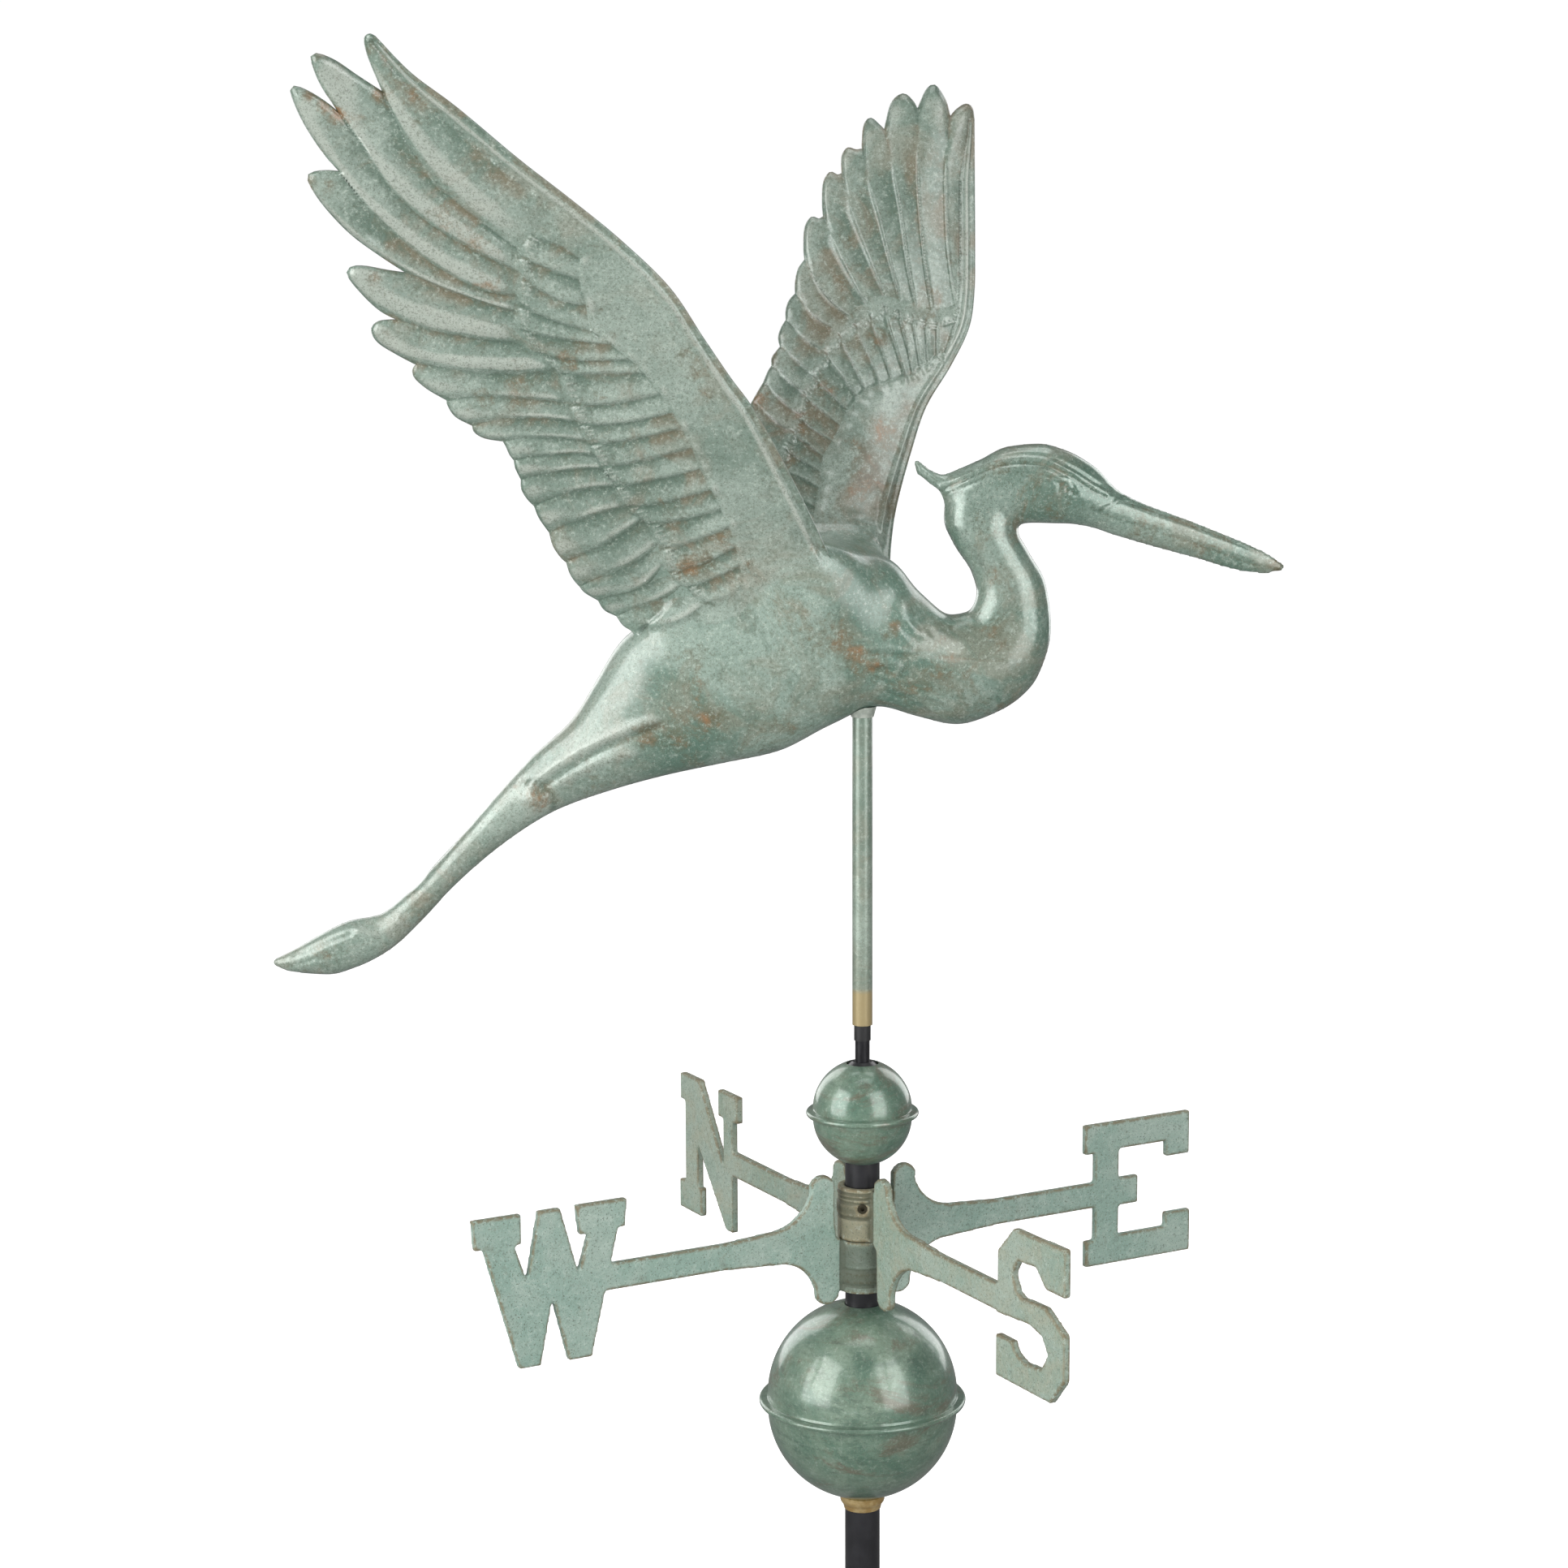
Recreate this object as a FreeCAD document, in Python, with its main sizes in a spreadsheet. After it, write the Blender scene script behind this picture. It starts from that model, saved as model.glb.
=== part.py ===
"""Weather vane: a hollow copper heron that turns on a steel spindle above cast compass letters.

Units are millimetres.  +Z is up the mast, the heron's beak points along +X, and the
origin is the centre of the mast's bottom end.
"""
import FreeCAD, Part
import math
import os

import Sketcher

V = FreeCAD.Vector

os.makedirs("parts", exist_ok=True)
doc = FreeCAD.newDocument("HeronWeatherVane")

# ---------------------------------------------------------------------------
# Driving dimensions
# ---------------------------------------------------------------------------
DIMENSIONS = [
    ("mast_d", 19.05, "mast tube outside diameter, below the collar"),
    ("mast_upper_d", 18.65, "mast tube outside diameter from the collar up"),
    ("mast_wall", 1.6, "mast tube wall"),
    ("mast_top", 430.0, "height of the mast tube's upper end"),
    ("plug_bottom", 400.0, "lower end of the plug inside the mast tube"),
    ("plug_shoulder", 452.2, "height where the plug's full diameter ends"),
    ("plug_top", 455.4, "top of the plug's taper"),
    ("plug_top_d", 11.0, "diameter at the top of the taper"),
    ("plug_bore_bottom", 414.0, "bottom of the plug's blind hole"),
    ("spindle_d", 7.8, "spindle diameter"),
    ("spindle_bottom", 414.2, "spindle's lower end, in the plug"),
    ("spindle_top", 693.0, "spindle's upper end, under the ball"),
    ("ball_d", 6.0, "bearing ball diameter"),
    ("fit", 0.05, "radial running clearance"),
    ("tube_d", 10.8, "pivot tube outside diameter"),
    ("tube_wall", 0.9, "pivot tube wall"),
    ("tube_bottom", 475.5, "pivot tube's lower end"),
    ("tube_top", 712.0, "pivot tube's upper end, inside the body"),
    ("bush_bottom", 467.0, "lower end of the black sleeve"),
    ("bush_top", 500.0, "upper end of the black sleeve"),
    ("cap_bottom", 698.75, "underside of the bearing cap, on the ball"),
    ("ring_d", 15.0, "solder ring diameter at the belly"),
    ("ring_bottom", 642.0, "height where the solder ring starts on the tube"),
    ("ring_h", 5.5, "height of the solder ring before it is fitted to the belly"),
    ("collar_top", 213.0, "top of the brass collar"),
    ("collar_h", 8.4, "brass collar height"),
    ("collar_d", 24.3, "brass collar largest diameter"),
    ("big_z", 266.8, "height of the large globe's seam"),
    ("big_r", 51.6, "large globe radius"),
    ("big_rim_r", 56.2, "large globe rim radius"),
    ("big_lift", 3.0, "straight band each side of the large globe's seam"),
    ("big_hole_r", 9.8, "holes at the large globe's poles"),
    ("small_z", 427.1, "height of the small globe's seam"),
    ("small_r", 26.7, "small globe radius"),
    ("small_rim_r", 30.3, "small globe rim radius"),
    ("small_lift", 2.0, "straight band each side of the small globe's seam"),
    ("small_top_hole_r", 8.7, "small globe's upper hole"),
    ("small_low_hole_r", 9.8, "small globe's lower hole"),
    ("globe_wall", 1.0, "globe sheet thickness"),
    ("bead_r", 1.5, "radius of the rolled bead on a globe's rim"),
    ("cross_z", 358.2, "height where the two castings meet"),
    ("cross_turn", 30.0, "turn of the E arm from the heron's heading, degrees"),
    ("hub_r", 13.5, "casting hub radius"),
    ("hub_bore_r", 9.6, "casting hub bore radius"),
    ("hub_h", 28.9, "height of one hub ring"),
    ("hub_gap", 0.15, "half the gap between the two hub rings"),
    ("cast_t", 4.2, "thickness of plates, arms and letters"),
    ("lobe", 39.0, "height of a plate's lobe above the cross centre"),
    ("arm_h", 14.5, "height of an arm"),
    ("lobe_rise", 1.2, "rise of the plates above the cross centre"),
    ("ew_rise", 1.2, "rise of the E-W arms and letters above the cross centre"),
    ("ns_rise", 4.4, "rise of the N-S arms and letters above the cross centre"),
    ("e_start", 143.0, "inner edge of letter E"),
    ("w_start", 142.0, "inner edge of letter W"),
    ("n_start", 141.0, "inner edge of letter N"),
    ("s_start", 138.5, "inner edge of letter S"),
    ("letter_h", 82.0, "height of the letters"),
    ("screw_r", 2.5, "set screw radius"),
    ("screw_hole_r", 2.55, "set screw hole radius"),
    ("skin", 1.0, "copper sheet thickness of the heron"),
    ("seam", 0.15, "half the gap along a soldered seam"),
    ("body_grow", 0.35, "gap between the body and a wing skin"),
    ("right_lean", 0.40, "outward lean of the right wing per mm of height"),
    ("left_lean", 0.33, "outward lean of the left wing per mm of height"),
    ("wing_swell", 7.0, "greatest half thickness of a wing"),
]

sheet = doc.addObject("Spreadsheet::Sheet", "Sizes")
for row, (alias, value, meaning) in enumerate(DIMENSIONS, start=1):
    sheet.set("A%d" % row, alias)
    sheet.set("B%d" % row, str(value))
    sheet.set("C%d" % row, meaning)
    sheet.setAlias("B%d" % row, alias)
doc.recompute()


def size(alias):
    """Value of a driving dimension."""
    return float(sheet.get(alias))


def expr(text):
    """Turn {name} in a formula into a reference to the sheet."""
    return text.replace("{", "Sizes.").replace("}", "")


def value_of(text):
    """Numeric value of a formula written for expr()."""
    names = {alias: size(alias) for alias, _, _ in DIMENSIONS}
    result = text.replace("^", "**")
    for alias in sorted(names, key=len, reverse=True):
        result = result.replace("{%s}" % alias, repr(names[alias]))
    quantity = FreeCAD.Units.Quantity(result.replace("**", "^"))
    return float(quantity.Value)


# ---------------------------------------------------------------------------
# Helpers for bodies and sketches
# ---------------------------------------------------------------------------
made = []


def new_body(label):
    """A PartDesign body that becomes one node of the assembly."""
    body = doc.addObject("PartDesign::Body", label)
    body.Label = label
    made.append(body)
    return body


def new_feature(label, shape):
    """A computed shape that becomes one node of the assembly."""
    feature = doc.addObject("Part::Feature", label)
    feature.Label = label
    feature.Shape = shape
    made.append(feature)
    return feature


def origin_plane(body, role):
    for item in body.Origin.OriginFeatures:
        if item.Role == role:
            return item
    raise RuntimeError("no plane " + role)


def new_sketch(body, role, height=None, turn=0.0):
    """Sketch on an origin plane; height lifts it along its normal, turn swings it about its own Y."""
    sketch = body.newObject("Sketcher::SketchObject", body.Label + "_sketch")
    sketch.AttachmentSupport = (origin_plane(body, role), [""])
    sketch.MapMode = "FlatFace"
    sketch.AttachmentOffset = FreeCAD.Placement(V(0, 0, 0), FreeCAD.Rotation(V(0, 1, 0), turn))
    if height is not None:
        sketch.setExpression(".AttachmentOffset.Base.z", expr(height))
    return sketch


def add_circle(sketch, radius, x="0", y="0"):
    """Circle whose radius and centre follow formulas."""
    centre = V(value_of(x), value_of(y), 0)
    index = sketch.addGeometry(Part.Circle(centre, V(0, 0, 1), value_of(radius)), False)
    constraint = sketch.addConstraint(Sketcher.Constraint("Radius", index, value_of(radius)))
    sketch.setExpression("Constraints[%d]" % constraint, expr(radius))
    fix_point(sketch, index, 3, x, y)
    return index


def fix_point(sketch, index, position, x, y):
    """Tie one point of a sketch to formulas for its two coordinates."""
    if abs(value_of(x)) < 1e-9 and abs(value_of(y)) < 1e-9:
        sketch.addConstraint(Sketcher.Constraint("Coincident", index, position, -1, 1))
        return
    for kind, formula, axis in (("DistanceX", x, -2), ("DistanceY", y, -1)):
        if abs(value_of(formula)) < 1e-9:
            sketch.addConstraint(Sketcher.Constraint("PointOnObject", index, position, axis))
            continue
        number = value_of(formula)
        constraint = sketch.addConstraint(Sketcher.Constraint(kind, -1, 1, index, position, number))
        sketch.setExpression("Constraints[%d]" % constraint, expr(formula))


def arc_between(start, end, radius):
    """Arc from start to end; a positive radius bulges to the left of the way travelled."""
    chord = end - start
    half = chord.Length / 2
    reach = abs(radius)
    drop = math.sqrt(max(reach * reach - half * half, 0.0))
    left = V(-chord.y, chord.x, 0).normalize()
    side = 1.0 if radius > 0 else -1.0
    middle = (start + end) * 0.5
    top = middle + left * side * (reach - drop)
    return Part.Arc(start, top, end)


def add_outline(sketch, corners):
    """Closed outline. Each corner is (x, y) or (x, y, radius of the arc that follows)."""
    points = [V(value_of(c[0]), value_of(c[1]), 0) for c in corners]
    count = len(corners)
    ends = []
    for k, corner in enumerate(corners):
        start = points[k]
        end = points[(k + 1) % count]
        if len(corner) > 2:
            side = -1.0 if corner[2].startswith("-") else 1.0
            formula = corner[2].lstrip("-")
            arc = arc_between(start, end, side * value_of(formula))
            index = sketch.addGeometry(arc, False)
            constraint = sketch.addConstraint(Sketcher.Constraint("Radius", index, value_of(formula)))
            sketch.setExpression("Constraints[%d]" % constraint, expr(formula))
            begins = sketch.getPoint(index, 1)
            order = (1, 2) if (begins - start).Length < 1e-6 else (2, 1)
        else:
            index = sketch.addGeometry(Part.LineSegment(start, end), False)
            order = (1, 2)
        ends.append((index, order))
    for k in range(count):
        index, order = ends[k]
        after, after_order = ends[(k + 1) % count]
        sketch.addConstraint(Sketcher.Constraint("Coincident", index, order[1], after, after_order[0]))
        fix_point(sketch, index, order[0], corners[k][0], corners[k][1])


def pad(body, sketch, length, both_ways=False, reverse=False):
    feature = body.newObject("PartDesign::Pad", body.Label + "_pad")
    feature.Profile = sketch
    feature.setExpression("Length", expr(length))
    feature.SideType = "Symmetric" if both_ways else "One side"
    feature.Reversed = reverse
    sketch.Visibility = False
    return feature


def pocket(body, sketch, length, reverse=False):
    feature = body.newObject("PartDesign::Pocket", body.Label + "_pocket")
    feature.Profile = sketch
    feature.setExpression("Length", expr(length))
    feature.Reversed = reverse
    sketch.Visibility = False
    return feature


def turned(label, corners):
    """Solid of revolution about the mast axis from an outline in (radius, height)."""
    body = new_body(label)
    sketch = new_sketch(body, "XZ_Plane")
    add_outline(sketch, corners)
    feature = body.newObject("PartDesign::Revolution", label + "_turned")
    feature.Profile = sketch
    feature.ReferenceAxis = (sketch, ["V_Axis"])
    feature.Angle = 360
    sketch.Visibility = False
    return body


def tube(label, outer_r, inner_r, bottom, length):
    """Plain round tube standing on the height 'bottom'."""
    body = new_body(label)
    sketch = new_sketch(body, "XY_Plane", bottom)
    add_circle(sketch, outer_r)
    add_circle(sketch, inner_r)
    pad(body, sketch, length)
    return body


# ---------------------------------------------------------------------------
# Mast, plug, spindle and ball
# ---------------------------------------------------------------------------
def make_mast():
    # The tube is turned down a little above the foot, and the collar sits on that shoulder.
    turned("mast_tube", [
        ("{mast_d} / 2 - {mast_wall}", "0"),
        ("{mast_d} / 2", "0"),
        ("{mast_d} / 2", "{collar_top} - {collar_h}"),
        ("{mast_upper_d} / 2", "{collar_top} - {collar_h}"),
        ("{mast_upper_d} / 2", "{mast_top}"),
        ("{mast_d} / 2 - {mast_wall}", "{mast_top}"),
    ])
    turned("mast_top_plug", [
        ("0", "{plug_bottom}"),
        ("{mast_d} / 2 - {mast_wall} - 0.02", "{plug_bottom}"),
        ("{mast_d} / 2 - {mast_wall} - 0.02", "{mast_top} + 0.02"),
        ("{mast_upper_d} / 2", "{mast_top} + 0.02"),
        ("{mast_upper_d} / 2", "{plug_shoulder}"),
        ("{plug_top_d} / 2", "{plug_top}"),
        ("{spindle_d} / 2 + 0.02", "{plug_top}"),
        ("{spindle_d} / 2 + 0.02", "{plug_bore_bottom}"),
        ("0", "{plug_bore_bottom}"),
    ])
    turned("spindle", [
        ("0", "{spindle_bottom}"),
        ("{spindle_d} / 2 - 0.6", "{spindle_bottom}"),
        ("{spindle_d} / 2", "{spindle_bottom} + 0.6"),
        ("{spindle_d} / 2", "{spindle_top} - 0.6"),
        ("{spindle_d} / 2 - 0.6", "{spindle_top}"),
        ("{ball_d} / 4", "{spindle_top}"),
        ("0", "{spindle_top} - 1.0"),
    ])
    ball = doc.addObject("Part::Sphere", "bearing_ball")
    ball.Label = "bearing_ball"
    ball.setExpression("Radius", expr("{ball_d} / 2"))
    ball.setExpression(".Placement.Base.z", expr("{spindle_top} + {ball_d} / 2 * 0.87"))
    made.append(ball)


def make_collar():
    """Brass stop collar under the large globe, with its set screw at the back."""
    bottom = "{collar_top} - {collar_h}"
    body = turned("brass_collar", [
        ("{mast_upper_d} / 2 + 0.02", bottom + " + 0.02"),
        ("{mast_d} / 2 + 0.5", bottom + " + 0.02"),
        ("{mast_d} / 2 + 1.0", bottom + " + 2.2"),
        ("{collar_d} / 2 - 0.25", bottom + " + 4.2"),
        ("{collar_d} / 2", bottom + " + 5.2"),
        ("{collar_d} / 2", "{collar_top} - 0.8"),
        ("{collar_d} / 2 - 0.9", "{collar_top}"),
        ("{mast_upper_d} / 2 + 0.02", "{collar_top}"),
    ])
    hole = new_sketch(body, "XZ_Plane")
    add_circle(hole, "1.25", "0", "{collar_top} - 2.6")
    pocket(body, hole, "{collar_d}")
    screw = new_body("collar_set_screw")
    face = new_sketch(screw, "XZ_Plane", "-{mast_upper_d} / 2 - 0.02")
    add_circle(face, "1.22", "0", "{collar_top} - 2.6")
    pad(screw, face, "2.3", reverse=True)


# ---------------------------------------------------------------------------
# Globes: two spun halves each, the upper one with a rolled rim
# ---------------------------------------------------------------------------
def make_globe(name, key, top_hole, low_hole):
    seam_z = "{%s_z}" % key
    lift = "{%s_lift}" % key
    outer = "{%s_r}" % key
    rim = "{%s_rim_r}" % key
    inner = "(%s - {globe_wall})" % outer
    lip = "(%s - 2 * {globe_wall} - 0.1)" % outer

    def dome(radius, hole, side):
        """Height on a dome of this radius where it meets the hole."""
        return "%s %s %s %s sqrt(%s^2 - %s^2)" % (seam_z, side, lift, side, radius, hole)

    turned(name + "_upper", [
        (inner, seam_z + " - {bead_r}"),
        (outer + " + 0.4", seam_z + " - {bead_r}"),
        (rim + " - {bead_r}", seam_z + " - {bead_r}", "-{bead_r}"),
        (rim, seam_z, "-{bead_r}"),
        (rim + " - {bead_r}", seam_z + " + {bead_r}"),
        (outer + " + 0.5", seam_z + " + {bead_r} + 0.3"),
        (outer, seam_z + " + " + lift, "-" + outer),
        (top_hole, dome(outer, top_hole, "+")),
        (top_hole, dome(inner, top_hole, "+"), inner),
        (inner, seam_z + " + " + lift),
    ])
    turned(name + "_lower", [
        (low_hole, dome(outer, low_hole, "-"), "-" + outer),
        (outer, seam_z + " - " + lift + " - 0.2"),
        (outer, seam_z + " - {bead_r} - 0.1"),
        (inner + " - 0.1", seam_z + " - {bead_r} - 0.1"),
        (inner + " - 0.1", seam_z + " + 1.2"),
        (lip, seam_z + " + 1.2"),
        (lip, seam_z + " - {bead_r} - 0.6"),
        ("sqrt(%s^2 - 4^2)" % inner, seam_z + " - " + lift + " - 4", inner),
        (low_hole, dome(inner, low_hole, "-")),
    ])


# ---------------------------------------------------------------------------
# Cast compass pieces
# ---------------------------------------------------------------------------
# Letter outlines: x from the letter's inner edge outward, y from its foot, on an 82 mm height.
LETTER_E = [
    (0, 82), (71, 82), (71, 57), (55, 57), (55, 66), (23, 66), (23, 49), (36, 49), (36, 33),
    (23, 33), (23, 16), (55, 16), (55, 24), (72, 24), (72, 0), (1, 0), (1, 15), (7, 15),
    (7, 65), (0, 65),
]
LETTER_W = [
    (0, 82), (1, 67), (5, 67), (21, 0), (34, 0), (43, 35), (50, 0), (62, 0), (81, 66), (86, 66),
    (87, 82), (60, 82), (60, 66), (64, 66), (57, 46), (50, 82), (38, 82), (28, 46), (22, 66),
    (27, 66), (29, 82),
]
LETTER_N = [
    (0, 82), (0, 66), (6, 66), (6, 0), (14, 0), (49, 43), (49, 17), (45, 17), (45, 0), (72, 0),
    (72, 17), (65, 17), (65, 66), (70, 66), (70, 82), (47, 82), (17, 37), (17, 66), (23, 66),
    (23, 82),
]
LETTER_S = [
    (0, 22), (0, 0), (51, 0), (63, 14), (63, 38), (45, 48), (24, 47), (19, 49), (15, 57),
    (20, 65), (37, 66), (46, 57), (63, 57), (63, 82), (16, 81), (1, 66), (1, 33), (31, 35),
    (43, 32), (48, 24), (42, 15), (26, 14), (18, 17), (15, 22),
]


SCREW_HEIGHT = 18.6


def add_letter(body, outline, start, side, rise):
    """Pad one letter on an arm; side is +1 or -1 along the casting's own X axis."""
    sketch = new_sketch(body, "XZ_Plane")
    sign = "" if side > 0 else "-"
    corners = []
    for x, y in outline:
        across = "%s({%s} + %g)" % (sign, start, x)
        up = "{letter_h} * %g - {letter_h} / 2 + %s" % (y / 82.0, rise)
        corners.append((across, up))
    add_outline(sketch, corners)
    return pad(body, sketch, "{cast_t}", both_ways=True)


def add_plate(body, side, own, arm_end, rise):
    """Pad one plate with its two lobes and its arm. own is +1 when the hub ring is the upper one."""
    sketch = new_sketch(body, "XZ_Plane")

    def x(value):
        return "-(%s)" % value if side < 0 else value

    def y(value, offset="{lobe_rise}"):
        return ("-(%s) + %s" if own > 0 else "%s + %s") % (value, offset)

    def arc(radius):
        return ("" if side * own > 0 else "-") + radius

    def hollow(radius):
        return ("-" if side * own > 0 else "") + radius

    corners = [
        (x("11"), y("-{hub_h} + 1", "0")),
        (x("15.5"), y("-{hub_h} + 1", "0")),
        (x("15.5"), y("-{lobe} + 7.4"), arc("7.4")),
        (x("29"), y("-{lobe} + 7.4")),
        (x("29.5"), y("-27"), hollow("24")),
        (x("53"), y("-{arm_h} / 2 - 2", rise)),
        (x("85"), y("-{arm_h} / 2", rise)),
        (x(arm_end), y("-{arm_h} / 2", rise)),
        (x(arm_end), y("{arm_h} / 2", rise)),
        (x("85"), y("{arm_h} / 2", rise)),
        (x("55"), y("{arm_h} / 2 + 2", rise), hollow("26")),
        (x("32.2"), y("27")),
        (x("32.2"), y("{lobe} - 7.2"), arc("7.4")),
        (x("18.6"), y("{lobe} - 7.2")),
        (x("17.5"), y("3", "0")),
        (x("11"), y("-1", "0")),
    ]
    add_outline(sketch, corners)
    return pad(body, sketch, "{cast_t}", both_ways=True)


def add_band(body, own):
    """Two shallow grooves that leave a band round the hub ring."""
    edges = (14.0, 21.6) if own > 0 else (16.6, 24.2)
    for low in edges:
        high = low + 0.8
        sketch = new_sketch(body, "XZ_Plane")
        sign = "" if own > 0 else "-"
        add_outline(sketch, [
            ("{hub_r} - 0.6", "%s%g" % (sign, low)),
            ("{hub_r} + 0.5", "%s%g" % (sign, low)),
            ("{hub_r} + 0.5", "%s%g" % (sign, high)),
            ("{hub_r} - 0.6", "%s%g" % (sign, high)),
        ])
        groove = body.newObject("PartDesign::Groove", body.Label + "_groove")
        groove.Profile = sketch
        groove.ReferenceAxis = (sketch, ["V_Axis"])
        groove.Angle = 360
        sketch.Visibility = False


def make_casting(label, letters, own, turn, rise, screw_turn):
    """One casting: hub ring, two plates with arms, and a letter at each end."""
    body = new_body(label)
    ring_low = "{hub_gap}" if own > 0 else "-{hub_gap} - {hub_h}"
    ring = new_sketch(body, "XY_Plane", ring_low)
    add_circle(ring, "{hub_r}")
    add_circle(ring, "{hub_bore_r}")
    pad(body, ring, "{hub_h}")
    add_band(body, own)
    for outline, start, root, side in letters:
        add_plate(body, side, own, "{%s} + %g" % (start, root), rise)
    for outline, start, root, side in letters:
        add_letter(body, outline, start, side, rise)
    hole = new_sketch(body, "XZ_Plane", turn=screw_turn)
    add_circle(hole, "{screw_hole_r}", "0", "%g" % (own * SCREW_HEIGHT))
    pocket(body, hole, "{hub_r} + 2", reverse=True)
    body.Placement = FreeCAD.Placement(V(0, 0, size("cross_z")), FreeCAD.Rotation(V(0, 0, 1), turn))
    body.setExpression(".Placement.Base.z", expr("{cross_z}"))
    return body


def make_directionals():
    turn = size("cross_turn")
    make_casting("directional_east_west", [(LETTER_E, "e_start", 12, 1), (LETTER_W, "w_start", 15, -1)],
                 -1, turn, "{ew_rise}", 180.0 - turn)
    make_casting("directional_north_south", [(LETTER_N, "n_start", 10, 1), (LETTER_S, "s_start", 4, -1)],
                 1, turn + 90.0, "{ns_rise}", -90.0 - turn)
    # One socket screw in each hub: the upper one faces the front, the lower one the back.
    screws = []
    for own, facing in ((1, -1), (-1, 1)):
        base = V(0, facing * (size("hub_bore_r") + 0.25), size("cross_z") + own * SCREW_HEIGHT)
        screw = Part.makeCylinder(size("screw_r"), 3.2, base, V(0, facing, 0))
        socket = Part.makeCylinder(1.2, 2.0, base + V(0, facing * 1.4, 0), V(0, facing, 0))
        screws.append(screw.cut(socket))
    new_feature("directional_set_screws", Part.makeCompound(screws))


# ---------------------------------------------------------------------------
# Pivot tube and its fittings
# ---------------------------------------------------------------------------
def make_pivot():
    inner = "({tube_d} / 2 - {tube_wall})"
    tube("pivot_tube", "{tube_d} / 2", inner, "{tube_bottom}", "{tube_top} - {tube_bottom}")
    tube("lower_sleeve", inner + " - 0.02", "{spindle_d} / 2 + {fit}", "{bush_bottom}",
         "{bush_top} - {bush_bottom}")
    turned("bearing_cap", [
        ("0", "{cap_bottom}"),
        (inner + " - 0.02", "{cap_bottom}"),
        (inner + " - 0.02", "{tube_top} - 0.5"),
        ("0", "{tube_top} - 0.5"),
    ])


def make_solder_ring():
    """Fillet of solder where the tube enters the belly, fitted to the body's underside."""
    tube_r = size("tube_d") / 2
    bottom = V(0, 0, size("ring_bottom"))
    height = size("ring_h")
    cone = Part.makeCone(tube_r + 0.6, size("ring_d") / 2, height, bottom)
    bore = Part.makeCylinder(tube_r + 0.02, height + 2, bottom - V(0, 0, 1))
    new_feature("belly_solder_ring", biggest(cone.cut(bore).cut(body_solid(0.05))))


# ---------------------------------------------------------------------------
# Heron body: two half shells lofted along the spine
# ---------------------------------------------------------------------------
# Each station is (top x, top z, bottom x, bottom z, half width), from the toes to the neck.
SPINE = [
    (-314, 511, -314, 508, 1.8),
    (-302, 517, -305, 504.5, 5.5),
    (-288, 525, -285, 503, 8.0),
    (-273, 532, -270, 507, 8.0),
    (-258, 535, -252, 516.5, 7.0),
    (-243, 546, -235, 532, 6.5),
    (-216, 574, -207, 560.5, 6.5),
    (-190, 603.5, -180, 581.5, 7.5),
    (-174, 621, -160, 593, 10.0),
    (-153, 641, -132, 603, 14.0),
    (-141, 660, -103, 611, 19.0),
    (-125, 684, -75, 617, 23.5),
    (-88, 707, -45, 623.5, 26.0),
    (-50, 726, -16, 638, 27.0),
    (-20, 735, 8, 647.5, 26.0),
    (11, 729, 30, 642, 23.0),
    (30, 708, 50, 638, 20.0),
    (46, 696, 74, 646, 17.0),
    (56, 698, 92, 663, 14.5),
    (60, 708, 99, 689, 13.0),
    (57, 719, 96, 712, 12.5),
    (48, 733, 87, 729, 12.5),
    (42, 748, 81, 742, 12.5),
    (47, 765, 87, 757, 11.0),
]
# The head and beak, from the back of the skull to the beak's tip.
HEAD = [
    (39, 768, 43, 753, 3.0),
    (47, 771, 51, 748, 7.5),
    (61, 777, 64, 745, 11.5),
    (76, 784, 80, 744, 13.0),
    (92, 785.5, 93, 744, 13.0),
    (106, 782, 106, 744, 12.0),
    (121, 773.5, 118, 742.5, 9.5),
    (135, 760, 132, 738, 7.0),
    (177, 743, 171, 727, 4.6),
    (215, 726.5, 210, 718, 2.2),
    (221, 722, 220, 719, 1.0),
]
# The crest that sweeps back from the crown.
CREST = [
    (28, 775.5, 30, 770.5, 1.2),
    (34, 771, 38, 763.5, 2.6),
    (42, 769.5, 48, 757, 4.5),
    (60, 776, 66, 756, 8.0),
]


def ring_edge(station, grow):
    """Closed curve round one station, larger than the station by 'grow' all round."""
    top = V(station[0], 0, station[1])
    bottom = V(station[2], 0, station[3])
    centre = (top + bottom) * 0.5
    up = top - bottom
    half_height = max(up.Length / 2 + grow, 0.25)
    half_width = max(station[4] + grow, 0.25)
    up.normalize()
    points = []
    for step in range(16):
        angle = math.pi * 2 * step / 16
        offset = up * (half_height * math.cos(angle)) + V(0, half_width * math.sin(angle), 0)
        points.append(centre + offset)
    curve = Part.BSplineCurve()
    curve.interpolate(Points=points, PeriodicFlag=True)
    return curve.toShape()


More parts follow.
